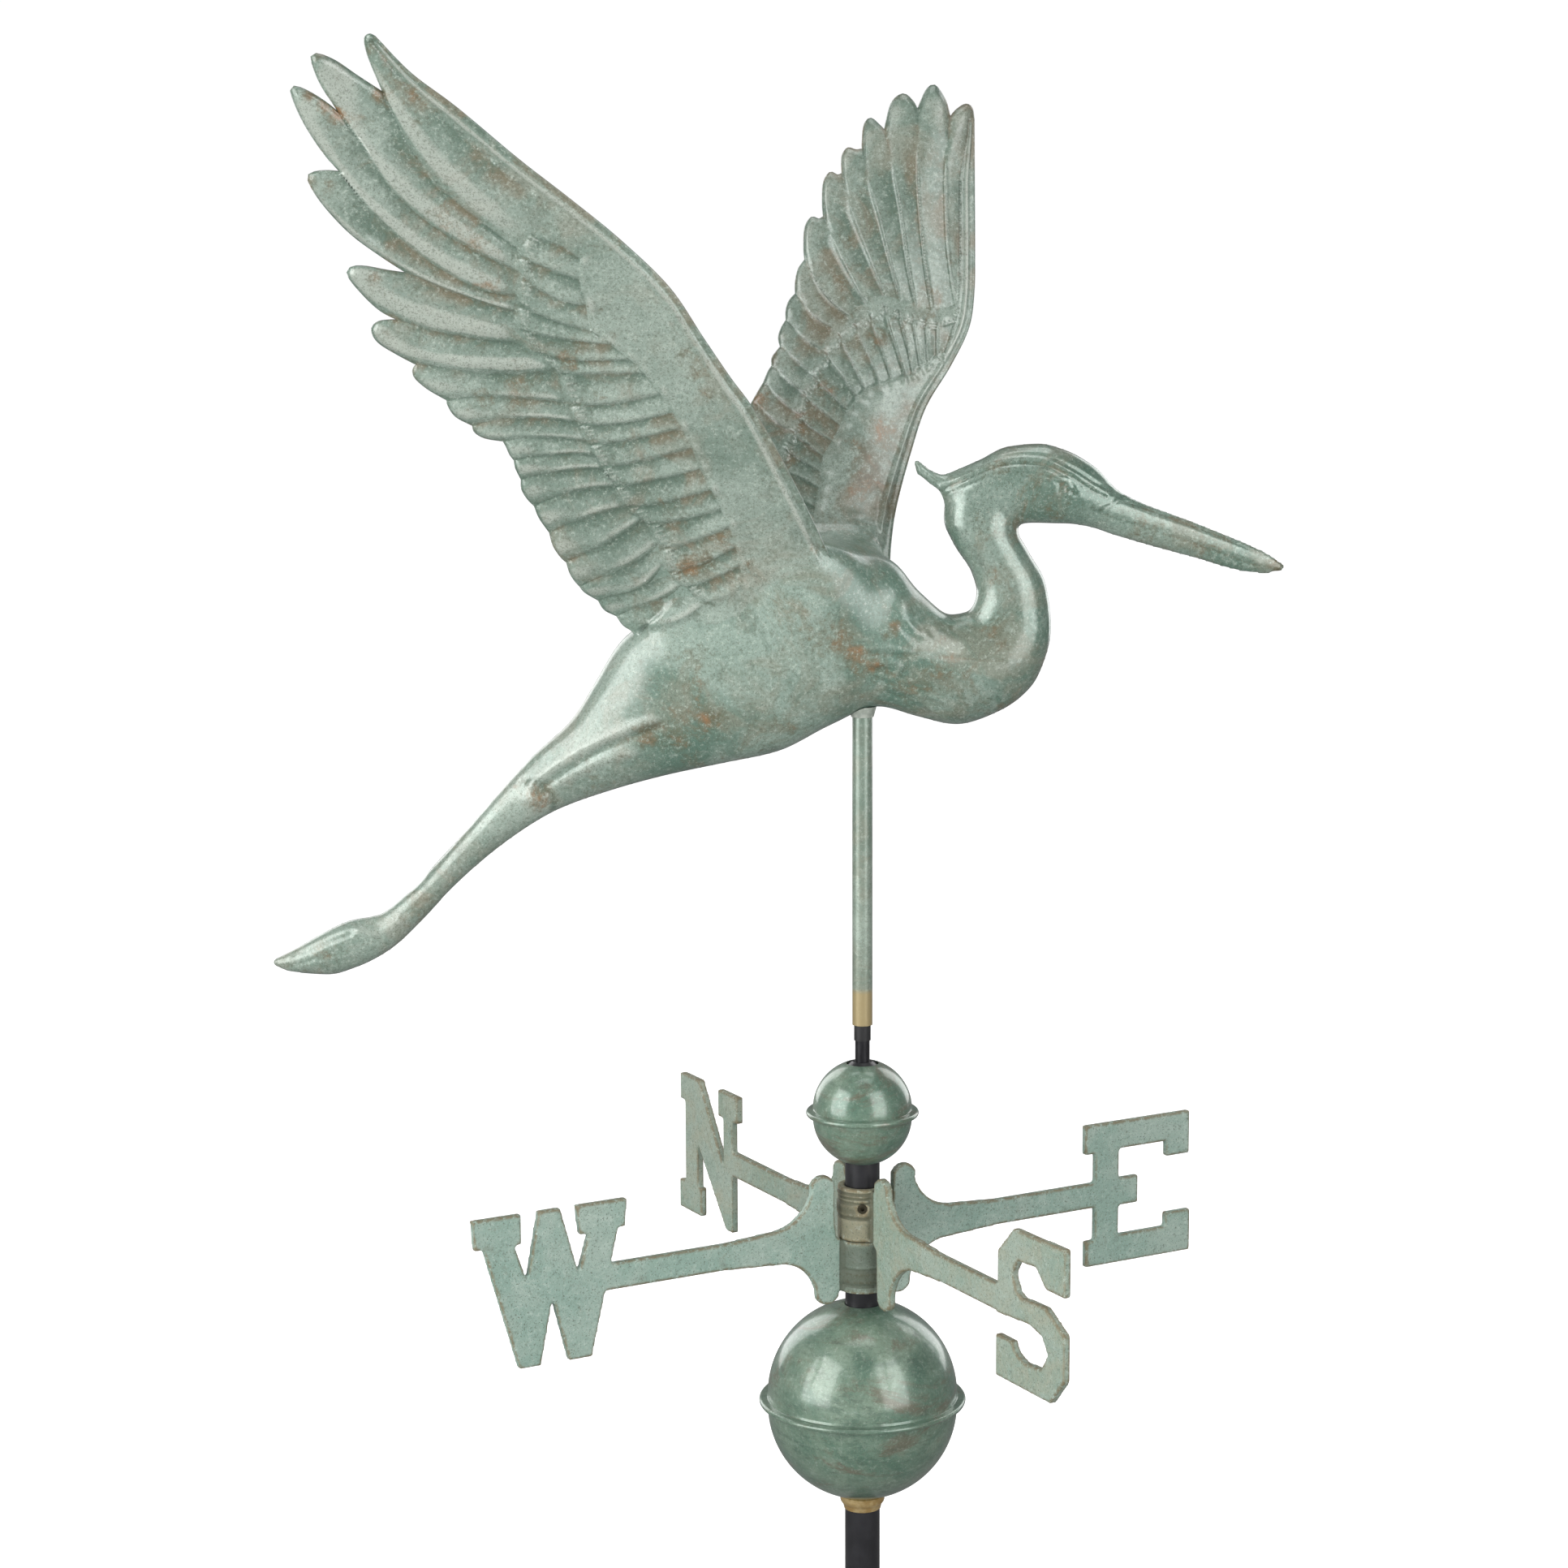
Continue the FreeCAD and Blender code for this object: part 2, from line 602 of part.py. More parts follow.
def between(stations, share=2):
    """Stations with share - 1 more set smoothly between each pair."""
    count = len(stations)
    place = [0.0]
    for before, after in zip(stations, stations[1:]):
        step = math.hypot(after[0] + after[2] - before[0] - before[2],
                          after[1] + after[3] - before[1] - before[3]) / 2
        place.append(place[-1] + step)

    def slope(k, item):
        if k == 0 or k == count - 1:
            near = (0, 1) if k == 0 else (count - 2, count - 1)
            return (stations[near[1]][item] - stations[near[0]][item]) / (place[near[1]] - place[near[0]])
        before = (stations[k][item] - stations[k - 1][item]) / (place[k] - place[k - 1])
        after = (stations[k + 1][item] - stations[k][item]) / (place[k + 1] - place[k])
        if before * after <= 0:
            return 0.0
        return 2 * before * after / (before + after)

    result = []
    for k in range(count - 1):
        span = place[k + 1] - place[k]
        for step in range(share):
            t = step / float(share)
            blend = (2 * t ** 3 - 3 * t ** 2 + 1, t ** 3 - 2 * t ** 2 + t,
                     -2 * t ** 3 + 3 * t ** 2, t ** 3 - t ** 2)
            result.append(tuple(
                blend[0] * stations[k][item] + blend[1] * span * slope(k, item)
                + blend[2] * stations[k + 1][item] + blend[3] * span * slope(k + 1, item)
                for item in range(5)))
    result.append(stations[-1])
    return result


def loft(stations, grow):
    """Solid through the stations, grown or shrunk by 'grow'."""
    rings = [ring_edge(station, grow) for station in between(stations)]
    faces = [Part.Face(Part.Wire([rings[0]])), Part.Face(Part.Wire([rings[-1]]))]
    for before, after in zip(rings, rings[1:]):
        faces.append(Part.makeRuledSurface(before, after))
    shell = Part.Shell(faces)
    shell.sewShape()
    solid = Part.Solid(shell)
    solid.fix(1e-4, 1e-4, 1e-4)
    if solid.Volume < 0:
        solid.reverse()
    return solid


def body_solid(grow):
    solid = loft(SPINE, grow).fuse(loft(HEAD, grow))
    return solid.fuse(loft(CREST, grow))


def body_hollow():
    wall = -size("skin")
    return loft(SPINE[1:], wall).fuse(loft(HEAD[1:-2], wall))


def half_space(side):
    """Box that keeps one side of the heron, clear of the seam."""
    block = Part.makeBox(700, 200, 500)
    start = size("seam") if side > 0 else -200.0 - size("seam")
    block.translate(V(-400, start, 400))
    return block


def make_body():
    shell = body_solid(0.0).cut(body_hollow())
    hole = Part.makeCylinder(size("tube_d") / 2 + 0.1, 60, V(0, 0, 610))
    shell = shell.cut(hole)
    for label, side in (("body_right_half", -1), ("body_left_half", 1)):
        half = shell.common(half_space(side))
        new_feature(label, biggest(half))


def biggest(shape):
    """Largest solid of a shape, as one clean solid."""
    solids = sorted(shape.Solids, key=lambda solid: solid.Volume)
    return solids[-1].removeSplitter()


# ---------------------------------------------------------------------------
# Wings: an outer and an inner skin each
# ---------------------------------------------------------------------------
# Outline points are (x, z, bulge of the edge that follows, positive to the left of travel).
RIGHT_WING = [
    (-22, 741, 0), (-56, 809, 0), (-79, 843, -1), (-94, 869, -2), (-131, 900, 0),
    (-171, 932, 0), (-209, 966, -1), (-231, 987, -1.5), (-236, 986, -1.5), (-230, 961, -1.5),
    (-259, 979, -2), (-261, 976, -2), (-250, 951, -1), (-271, 964, -1), (-272, 961, -3),
    (-252, 924, -1), (-268, 922, -5), (-223, 875, -1), (-252, 878, -4), (-229, 852, -1),
    (-243, 847, -3), (-222, 830, 0), (-223, 824, -2), (-207, 810, -1), (-195, 796, -1),
    (-180, 791, -1), (-174, 771, -1), (-168, 756, -1), (-160, 744, -1), (-160, 732, -1),
    (-151, 722, -1), (-144, 714, -1), (-135, 704, -1), (-121, 688, 0), (-95, 660, 0),
    (-45, 662, 0), (-18, 690, 0), (-13, 716, 0),
]
LEFT_WING = [
    (15, 729, 0), (18, 750, 0), (34, 802, 1), (47, 822, 0), (57, 843, -1), (60, 881, -1),
    (60, 957, -1), (56, 962, -1), (48, 955, -1), (39, 972, -1), (30, 959, -1), (21, 967, -1),
    (12, 948, -1), (4, 954, -1), (0, 938, -1), (-8, 938, -1), (-11, 925, -1), (-18, 925, -1),
    (-21, 902, -1), (-28, 901, -1), (-31, 879, -1), (-36, 861, -1), (-41, 847, -1),
    (-47, 829, -1), (-54, 816, 0), (-76, 775, 0), (-100, 735, 0), (-95, 690, 0), (-5, 690, 0),
]
# Chord stations are (height, trailing edge x, leading edge x), used for the wing's swell.
RIGHT_CHORDS = [
    (655, -118, 8), (700, -118, 2), (745, -150, -20), (800, -185, -50), (850, -222, -82),
    (900, -245, -128), (950, -258, -188), (995, -262, -232),
]
LEFT_CHORDS = [
    (675, -100, 14), (720, -98, 16), (760, -80, 24), (815, -52, 44), (850, -40, 59),
    (905, -22, 61), (950, 4, 60), (985, 14, 58),
]


def outline_face(outline):
    """Flat face in the XZ plane from an outline with bulged edges."""
    edges = []
    count = len(outline)
    for k in range(count):
        x0, z0, bulge = outline[k]
        x1, z1, _ = outline[(k + 1) % count]
        start = V(x0, 0, z0)
        end = V(x1, 0, z1)
        if bulge == 0:
            edges.append(Part.makeLine(start, end))
            continue
        chord = end - start
        left = V(-chord.z, 0, chord.x).normalize()
        middle = (start + end) * 0.5 + left * bulge
        edges.append(Part.Arc(start, middle, end).toShape())
    return Part.Face(Part.Wire(edges))


def wing_sheet(chords, side, lean, outward, near, far):
    """Curved sheet between two offsets from the wing's middle surface.

    outward is +1 for the skin that faces away from the body's centre plane."""
    wires = []
    swell = size("wing_swell")
    for height, trail, lead in chords:
        middle = 22.0 + lean * (height - 700.0)
        thickness = swell * (1.0 - 0.75 * max(0.0, height - 700.0) / 290.0)
        rows = []
        for offset in (near, far):
            points = []
            for step in range(-2, 11):
                part = step / 8.0
                x = trail + (lead - trail) * part
                inside = max(0.0, min(1.0, part))
                lens = thickness * math.sin(math.pi * inside ** 1.3)
                camber = -5.0 * math.sin(math.pi * inside)
                y = middle + camber + outward * (lens + offset)
                points.append(V(x, side * y, height))
            curve = Part.BSplineCurve()
            curve.interpolate(points)
            rows.append(curve.toShape())
        first, second = rows
        start_cap = Part.makeLine(second.Vertexes[0].Point, first.Vertexes[0].Point)
        end_cap = Part.makeLine(first.Vertexes[-1].Point, second.Vertexes[-1].Point)
        wires.append(Part.Wire([first, end_cap, second, start_cap]))
    return Part.makeLoft(wires, True, False)


def make_wings():
    keep_out = body_solid(size("body_grow"))
    gap = size("seam")
    wall = size("skin")
    wings = (
        ("right_wing", RIGHT_WING, RIGHT_CHORDS, -1, size("right_lean")),
        ("left_wing", LEFT_WING, LEFT_CHORDS, 1, size("left_lean")),
    )
    for name, outline, chords, side, lean in wings:
        reach = 260.0
        planform = outline_face(outline).extrude(V(0, side * reach, 0))
        for skin_name, outward in (("outer_skin", 1), ("inner_skin", -1)):
            sheet_solid = wing_sheet(chords, side, lean, outward, gap, gap + wall)
            skin = sheet_solid.common(planform).cut(keep_out)
            new_feature("%s_%s" % (name, skin_name), biggest(skin))


# ---------------------------------------------------------------------------
# Build, check and export
# ---------------------------------------------------------------------------
make_mast()
make_collar()
make_globe("large_globe", "big", "{big_hole_r}", "{big_hole_r}")
make_globe("small_globe", "small", "{small_top_hole_r}", "{small_low_hole_r}")
make_directionals()
make_pivot()
make_body()
make_solder_ring()
make_wings()
doc.recompute()

for item in doc.Objects:
    if "Invalid" in item.State or "Error" in item.State:
        raise RuntimeError("%s is not valid: %s" % (item.Label, item.State))

for item in made:
    shape = item.Shape
    if shape.isNull() or not shape.isValid():
        raise RuntimeError(item.Label + " has no valid shape")
    shape.exportStep("parts/%s.step" % item.Label)
    box = shape.BoundBox
    print("%-26s solids %d volume %10.1f  x %.1f..%.1f y %.1f..%.1f z %.1f..%.1f" % (
        item.Label, len(shape.Solids), shape.Volume, box.XMin, box.XMax, box.YMin, box.YMax, box.ZMin, box.ZMax))
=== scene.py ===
"""Looks of the heron weather vane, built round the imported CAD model.

Outlines below are in millimetres in the row frame, as (x, z); meshes are made in metres.
The heron's right wing is on -Y, towards the camera, and its left wing on +Y.
"""

import math
from collections import Counter

import bpy
import numpy as np
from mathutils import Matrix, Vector
from mathutils.bvhtree import BVHTree
from mathutils.geometry import delaunay_2d_cdt


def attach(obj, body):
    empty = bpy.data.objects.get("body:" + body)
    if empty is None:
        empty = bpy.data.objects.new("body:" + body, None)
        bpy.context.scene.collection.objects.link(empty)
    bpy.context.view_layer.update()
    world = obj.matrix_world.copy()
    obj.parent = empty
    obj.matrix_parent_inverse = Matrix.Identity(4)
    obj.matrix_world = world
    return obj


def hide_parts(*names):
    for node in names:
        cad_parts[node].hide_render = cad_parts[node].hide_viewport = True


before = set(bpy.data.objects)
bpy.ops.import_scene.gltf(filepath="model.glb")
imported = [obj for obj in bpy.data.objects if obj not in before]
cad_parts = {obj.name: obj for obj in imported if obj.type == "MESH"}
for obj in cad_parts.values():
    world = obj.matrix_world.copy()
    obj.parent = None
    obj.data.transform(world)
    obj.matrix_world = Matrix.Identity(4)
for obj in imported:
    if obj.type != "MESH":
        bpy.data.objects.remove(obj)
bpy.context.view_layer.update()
MM = 0.001


# --- Curves ---
def smooth_curve(points, per_span=8):
    """Catmull-Rom curve through given points."""
    p = np.array(points, float)
    p = np.vstack([2 * p[0] - p[1], p, 2 * p[-1] - p[-2]])
    t = np.linspace(0, 1, per_span, endpoint=False)[:, None]
    spans = []
    for k in range(1, len(p) - 2):
        a, b, c, d = p[k - 1:k + 3]
        spans.append(0.5 * (2 * b + (c - a) * t + (2 * a - 5 * b + 4 * c - d) * t ** 2
                            + (3 * b - a - 3 * c + d) * t ** 3))
    spans.append(p[-2:-1])
    return np.vstack(spans)


def lengths(curve):
    """Distance along a curve at each of its points."""
    return np.concatenate([[0.0], np.cumsum(np.linalg.norm(np.diff(curve, axis=0), axis=1))])


def at_shares(curve, shares):
    """Points of a curve at these shares of its length."""
    s = lengths(curve)
    u = np.asarray(shares) * s[-1]
    return np.column_stack([np.interp(u, s, curve[:, k]) for k in range(curve.shape[1])])


def nearest_share(curve, point):
    """Share of a curve's length where it passes nearest to a point."""
    s = lengths(curve)
    fine = at_shares(curve, np.linspace(0, 1, 2001))
    k = np.argmin(((fine - np.array(point)) ** 2).sum(1))
    return k / 2000.0


def stretch(curve, start, end, count=60):
    """The part of a curve between the points nearest to start and end."""
    return at_shares(curve, np.linspace(nearest_share(curve, start), nearest_share(curve, end), count))


def distance(points, line):
    """Distance of each point to a polyline."""
    best = np.full(len(points), 1e9)
    for a, b in zip(line[:-1], line[1:]):
        ab = b - a
        t = np.clip(((points - a) @ ab) / max(ab @ ab, 1e-12), 0, 1)
        gap = points - a - t[:, None] * ab
        best = np.minimum(best, np.sqrt((gap ** 2).sum(1)))
    return best


def ease(x, low=0.0, high=1.0):
    """Smooth step from 0 at low to 1 at high."""
    t = np.clip((np.asarray(x, float) - low) / (high - low), 0, 1)
    return t * t * (3 - 2 * t)


def between(x, low, rise, fall, high):
    """1 from rise to fall, and 0 outside low and high."""
    return ease(x, low, rise) * (1 - ease(x, fall, high))


# --- Mesh helpers ---
def add_object(name, mesh):
    """Smooth-shaded object in the scene."""
    mesh.polygons.foreach_set("use_smooth", [True] * len(mesh.polygons))
    obj = bpy.data.objects.new(name, mesh)
    bpy.context.scene.collection.objects.link(obj)
    return obj


def make_object(name, verts, faces):
    """Object from vertices in metres."""
    mesh = bpy.data.meshes.new(name)
    mesh.from_pydata([tuple(v) for v in verts], [], [tuple(f) for f in faces])
    mesh.validate()
    mesh.update()
    return add_object(name, mesh)


def read(mesh, what):
    """Coordinates ("co") or normals ("normal") of a mesh's vertices."""
    values = np.zeros(len(mesh.vertices) * 3, np.float32)
    mesh.vertices.foreach_get(what, values)
    return values.reshape(-1, 3).astype(float)


def set_coordinates(mesh, co):
    mesh.vertices.foreach_set("co", co.astype(np.float32).ravel())
    mesh.update()


def tube_faces(rings, size):
    """Faces round a stack of closed rings of the same size, with both ends capped."""
    faces = [(r * size + k, r * size + (k + 1) % size, (r + 1) * size + (k + 1) % size, (r + 1) * size + k)
             for r in range(rings - 1) for k in range(size)]
    return faces + [tuple(reversed(range(size))), tuple((rings - 1) * size + k for k in range(size))]


def edge_pairs(mesh):
    e = np.zeros(len(mesh.edges) * 2, np.int32)
    mesh.edges.foreach_get("vertices", e)
    return e.reshape(-1, 2)


def neighbour_mean(values, pairs):
    """Mean over each vertex's neighbours."""
    count = np.bincount(pairs.ravel(), minlength=len(values)).astype(float)
    total = np.zeros_like(values)
    for k in range(values.shape[1]):
        total[:, k] = (np.bincount(pairs[:, 0], values[pairs[:, 1], k], len(values))
                       + np.bincount(pairs[:, 1], values[pairs[:, 0], k], len(values)))
    return total / np.maximum(count, 1)[:, None]


def relax(mesh, rounds, weight=None, keep_size=True):
    """Evens out a mesh; with keep_size the shrinking is undone after each round."""
    pairs = edge_pairs(mesh)
    co = read(mesh, "co")
    share = np.ones(len(co)) if weight is None else weight
    for _ in range(rounds):
        co += 0.5 * share[:, None] * (neighbour_mean(co, pairs) - co)
        if keep_size:
            co -= 0.52 * share[:, None] * (neighbour_mean(co, pairs) - co)
    set_coordinates(mesh, co)


def fill_creases(mesh, rounds, weight):
    """Rounds off hollows only: points move outwards towards their neighbours' mean."""
    pairs = edge_pairs(mesh)
    co = read(mesh, "co")
    for k in range(rounds):
        if k % 20 == 0:
            set_coordinates(mesh, co)
            nrm = read(mesh, "normal")
        move = neighbour_mean(co, pairs) - co
        outward = (move * nrm).sum(1) > 0
        co += 0.8 * (weight * outward)[:, None] * move
    set_coordinates(mesh, co)


def set_mask(obj, name, values):
    """Stores one value for each vertex, for the materials to read."""
    attribute = obj.data.attributes.new(name, "FLOAT", "POINT")
    attribute.data.foreach_set("value", np.asarray(values, np.float32))


def remeshed(name, shells, voxel):
    """One skin round several closed shells, each (vertices in metres, faces)."""
    verts, faces, start = [], [], 0
    for shell_verts, shell_faces in shells:
        verts.extend(shell_verts)
        faces.extend([tuple(i + start for i in f) for f in shell_faces])
        start += len(shell_verts)
    rough = make_object(name + "_rough", verts, faces)
    skin = rough.modifiers.new("skin", "REMESH")
    skin.mode = "VOXEL"
    skin.voxel_size = voxel
    evaluated = rough.evaluated_get(bpy.context.evaluated_depsgraph_get())
    mesh = bpy.data.meshes.new_from_object(evaluated)
    mesh.name = name
    bpy.data.objects.remove(rough)
    return add_object(name, mesh)


# --- Heron body ---
# Stations: top x, top z, bottom x, bottom z, half width; from the toes to the neck.
SPINE = [
    (-314, 511, -314, 508, 1.8), (-302, 517, -305, 504.5, 5.5), (-288, 525, -285, 503, 8.0),
    (-273, 532, -270, 507, 8.0), (-258, 535, -252, 516.5, 7.0), (-243, 546, -235, 532, 6.5),
    (-216, 574, -207, 560.5, 6.5), (-190, 603.5, -180, 581.5, 7.5), (-174, 621, -160, 593, 10.0),
    (-153, 641, -132, 603, 14.0), (-141, 660, -103, 611, 19.0), (-125, 684, -75, 617, 23.5),
    (-88, 707, -45, 623.5, 26.0), (-50, 726, -16, 638, 27.0), (-20, 735, 8, 647.5, 26.0),
    (11, 729, 30, 642, 23.0), (30, 708, 50, 638, 20.0), (46, 696, 74, 646, 17.0),
    (56, 698, 92, 663, 14.5), (60, 708, 99, 689, 13.0), (57, 719, 96, 712, 12.5),
    (48, 733, 87, 729, 12.5), (42, 748, 81, 742, 12.5), (47, 765, 87, 757, 11.0),
]
HEAD = [
    (39, 768, 43, 753, 3.0), (47, 771, 51, 748, 7.5), (61, 777, 64, 745, 11.5),
    (76, 784, 80, 744, 13.0), (92, 785.5, 93, 744, 13.0), (106, 782, 106, 744, 12.0),
    (121, 773.5, 118, 742.5, 9.5), (135, 760, 132, 738, 7.0), (177, 743, 171, 727, 4.6),
    (215, 726.5, 210, 718, 2.2), (221, 722, 220, 719, 1.0),
]
CREST = [
    (27, 777.5, 28.5, 770, 2.2), (30, 776, 32, 767.5, 3.0), (35, 772, 38, 762.5, 3.6),
    (42, 769.5, 48, 757, 5.0), (60, 776, 66, 756, 8.0),
]
# The left leg lies a little above the right one and shows behind it from thigh to shin.
FAR_LEG = [
    (-233, 557.5, -227, 545, 3.6), (-214, 576.5, -206, 565, 4.0), (-198, 593.5, -190, 578, 4.5),
    (-176, 615, -166, 596, 6.0), (-160, 632, -146, 606, 8.0), (-147, 649, -122, 614, 11.0),
]


def hermite_stations(stations, share):
    """Stations with share - 1 more set smoothly, without overshoot, between each pair."""
    s = np.array(stations, float)
    gap = np.hypot(np.diff(s[:, 0] + s[:, 2]), np.diff(s[:, 1] + s[:, 3])) / 2
    rate = np.diff(s, axis=0) / gap[:, None]
    slope = np.zeros_like(s)
    slope[0], slope[-1] = rate[0], rate[-1]
    same = rate[:-1] * rate[1:] > 0
    total = np.where(same, rate[:-1] + rate[1:], 1.0)
    slope[1:-1] = np.where(same, 2 * rate[:-1] * rate[1:] / total, 0.0)
    result = []
    for k in range(len(s) - 1):
        for t in np.arange(share) / share:
            result.append((2 * t ** 3 - 3 * t ** 2 + 1) * s[k] + (t ** 3 - 2 * t ** 2 + t) * gap[k] * slope[k]
                          + (3 * t ** 2 - 2 * t ** 3) * s[k + 1] + (t ** 3 - t ** 2) * gap[k] * slope[k + 1])
    result.append(s[-1])
    return np.array(result)


def loft(stations, side_shift=0.0, share=6, around=40):
    """Closed shell of elliptical rings, in metres."""
    rings = hermite_stations(stations, share)
    angle = np.arange(around) * 2 * math.pi / around
    verts = []
    for tx, tz, bx, bz, half in rings:
        cx, cz, ux, uz = (tx + bx) / 2, (tz + bz) / 2, (tx - bx) / 2, (tz - bz) / 2
        for a in angle:
            verts.append(((cx + ux * math.cos(a)) * MM, (half * math.sin(a) + side_shift) * MM,
                          (cz + uz * math.cos(a)) * MM))
    return verts, tube_faces(len(rings), around)


ROOT_HALF, ROOT_Z = 22.0, 700.0  # where a wing's middle surface passes the body: side distance and height
STUB_LOW, STUB_TOP = 664.0, 785.0  # heights between which the body carries a wing's root


def wing_sheet(wing, p):
    """Middle surface's distance from the centre plane, and the wing's half thickness, in mm."""
    table = np.array(wing["chords"], float)
    trail = np.interp(p[:, 1], table[:, 0], table[:, 1])
    lead = np.interp(p[:, 1], table[:, 0], table[:, 2])
    part = np.clip((p[:, 0] - trail) / (lead - trail), 0, 1)
    middle = ROOT_HALF + wing["lean"] * (p[:, 1] - ROOT_Z) - 5.0 * np.sin(math.pi * part)
    corner = np.hypot(p[:, 0] - wing["corner"][0], p[:, 1] - wing["corner"][1])
    middle -= wing["tuck"] * (1 - ease(corner, 0, 48.0))
    swell = 7.0 * (1 - 0.75 * np.maximum(0, p[:, 1] - ROOT_Z) / 290.0)
    return middle, swell * np.sin(math.pi * part ** 1.3)


def wing_stub(wing, around=22):
    """The wing's root, a little thinner than the wing itself, as a closed shell."""
    table = np.array(wing["chords"], float)
    verts = []
    for z in np.arange(STUB_LOW, STUB_TOP, 4.0):
        trail, lead = (np.interp(z, table[:, 0], table[:, k]) for k in (1, 2))
        part = np.linspace(0.14, 0.965 - 0.035 * ease(z, 715, 765), around)
        p = np.column_stack([trail + (lead - trail) * part, np.full(around, z)])
        middle, lens = wing_sheet(wing, p)
        half = np.maximum(0.8 * lens - 1.7, 0.9)
        verts += [(x, wing["side"] * y, z) for x, y in zip(p[:, 0], middle + half)]
        verts += [(x, wing["side"] * y, z) for x, y in zip(p[::-1, 0], (middle - half)[::-1])]
    return [tuple(c * MM for c in v) for v in verts], tube_faces(len(verts) // (2 * around), 2 * around)


def saddle(wing):
    """Fills the valley between the back and a wing's inner face."""
    verts = []
    for x, top, rise in wing["saddle"]:
        reach = 19.0 + wing["lean"] * (top + rise - ROOT_Z)
        foot = 19.0 + wing["lean"] * (top - 730.0)
        section = [(reach * k / 8, top - 1 + rise * (k / 8) ** 2) for k in range(9)]
        section += [(foot, top - 30.0), (0.0, top - 34.0)]
        verts += [(x * MM, wing["side"] * y * MM, z * MM) for y, z in section]
    return verts, tube_faces(len(wing["saddle"]), len(section))


def blob(centre, radii, around=28):
    """Ellipsoid shell, in metres from millimetres."""
    verts = []
    for i in range(around // 2 + 1):
        polar = min(max(i * 2 * math.pi / around, 0.02), math.pi - 0.02)
        for k in range(around):
            a = k * 2 * math.pi / around
            unit = (math.sin(polar) * math.cos(a), math.sin(polar) * math.sin(a), math.cos(polar))
            verts.append(tuple((c + r * u) * MM for c, r, u in zip(centre, radii, unit)))
    return verts, tube_faces(around // 2 + 1, around)


def groove(points, line, width):
    """1 on a line, falling to 0 within about twice the width."""
    curve = smooth_curve(line) if len(line) > 2 else np.array(line, float)
    return np.exp(-(distance(points, curve) / width) ** 2)


def spot(points, centre, width, stretch_x=1.0):
    """1 at a place, falling to 0 within about twice the width; stretch_x draws it out along x."""
    d = (points - np.array(centre, float)) / np.array([stretch_x, 1.0])
    return np.exp(-(d ** 2).sum(1) / width ** 2)


BROW = [(40, 763), (52, 769), (66, 775.5), (80, 778.5), (95, 777.5), (108, 771.5), (119, 764.5), (128, 759.5)]
BROW_LOW = [(40, 759.5), (52, 765.5), (66, 771.5), (80, 774), (93, 772.5), (103, 767.5), (112, 761.5)]
BEAK_BASE = [(136, 761), (132, 757.5), (127, 754.5), (121, 751.5)]
GAPE = [(119, 752.5), (130, 748), (145, 743), (162, 737.5), (185, 729.5), (207, 721.5)]
THIGH = [(-174, 608), (-160, 618), (-146, 627), (-128, 636), (-108, 644)]
THIGH_LOW = [(-160, 609), (-140, 619), (-120, 626)]
EYE = (106, 763)


def shifted(line, dx, dz):
    """The line moved by dx and dz."""
    return [(x + dx, z + dz) for x, z in line]


# Raised lines (line, height, width), sunk and dark lines (line, depth, width, dark).
BODY_RIDGES = [
    (BROW, 0.9, 1.2), (BROW_LOW, 0.55, 0.9), (shifted(BROW, 2, 3.0), 0.35, 0.9),
    (shifted(BEAK_BASE, -0.6, 0.3), 0.5, 1.0), (shifted(GAPE, 0, 1.7), 0.35, 0.9),
    ([(98, 767), (106, 767.8), (113, 763)], 0.5, 0.9), ([(99, 760), (106, 758.4), (114, 759)], 0.35, 0.9),
    (THIGH, 1.5, 2.8), (THIGH_LOW, 1.0, 3.0),
    ([(-268, 528), (-256, 527), (-246, 533)], 0.9, 2.0),
    ([(24, 694), (28, 690), (33, 686)], 0.7, 1.4), ([(32, 690), (36, 685)], 0.45, 1.2),
    ([(3, 681), (10, 682), (18, 680.5), (25, 678.5)], 0.75, 1.3),
    ([(4, 673), (12, 673.5), (19, 671), (17, 666)], 0.9, 1.4),
    ([(14, 661), (22, 658.5), (32, 655)], 0.8, 1.4), ([(29, 653), (36, 648.5), (44, 642)], 0.8, 1.6),
    ([(10, 666), (18, 663), (24, 663)], 0.5, 1.2), ([(36, 655), (44, 651), (50, 645)], 0.5, 1.3),
]
BODY_LINES = [
    (shifted(BROW, 0, -2.2), 0.55, 1.1, 0.8), (shifted(BROW_LOW, 0, -1.9), 0.45, 0.9, 0.6),
    (shifted(BROW, 2, 1.5), 0.25, 0.7, 0.4), (shifted(BEAK_BASE, 1.6, -0.6), 0.6, 1.2, 0.6),
    (GAPE, 0.55, 0.8, 0.8), ([(136, 756), (156, 749), (184, 738.5), (214, 726)], 0.5, 0.8, 0.8),
    (shifted(THIGH, 3, -4.8), 1.0, 2.2, 0.5),
    ([(-179, 608), (-171, 609.5), (-163, 601), (-163, 592)], 0.8, 1.8, 0.7),
    ([(-306, 508), (-276, 518)], 0.6, 1.3, 0.5), ([(-304, 514), (-272, 526)], 0.5, 1.3, 0.4),
    ([(20, 692), (25, 687), (29, 684)], 0.35, 1.1, 0.5), ([(4, 678), (14, 677.3), (23, 675)], 0.5, 1.1, 0.6),
    ([(5, 669.5), (12, 669.5), (16, 666)], 0.5, 1.3, 0.6),
    ([(12, 657), (21, 654.5), (29, 651)], 0.45, 1.2, 0.5), ([(27, 649), (35, 643.5)], 0.4, 1.2, 0.45),
    ([(12, 679), (33, 677), (52, 675), (74, 673)], 0.3, 0.9, 0.6),
]
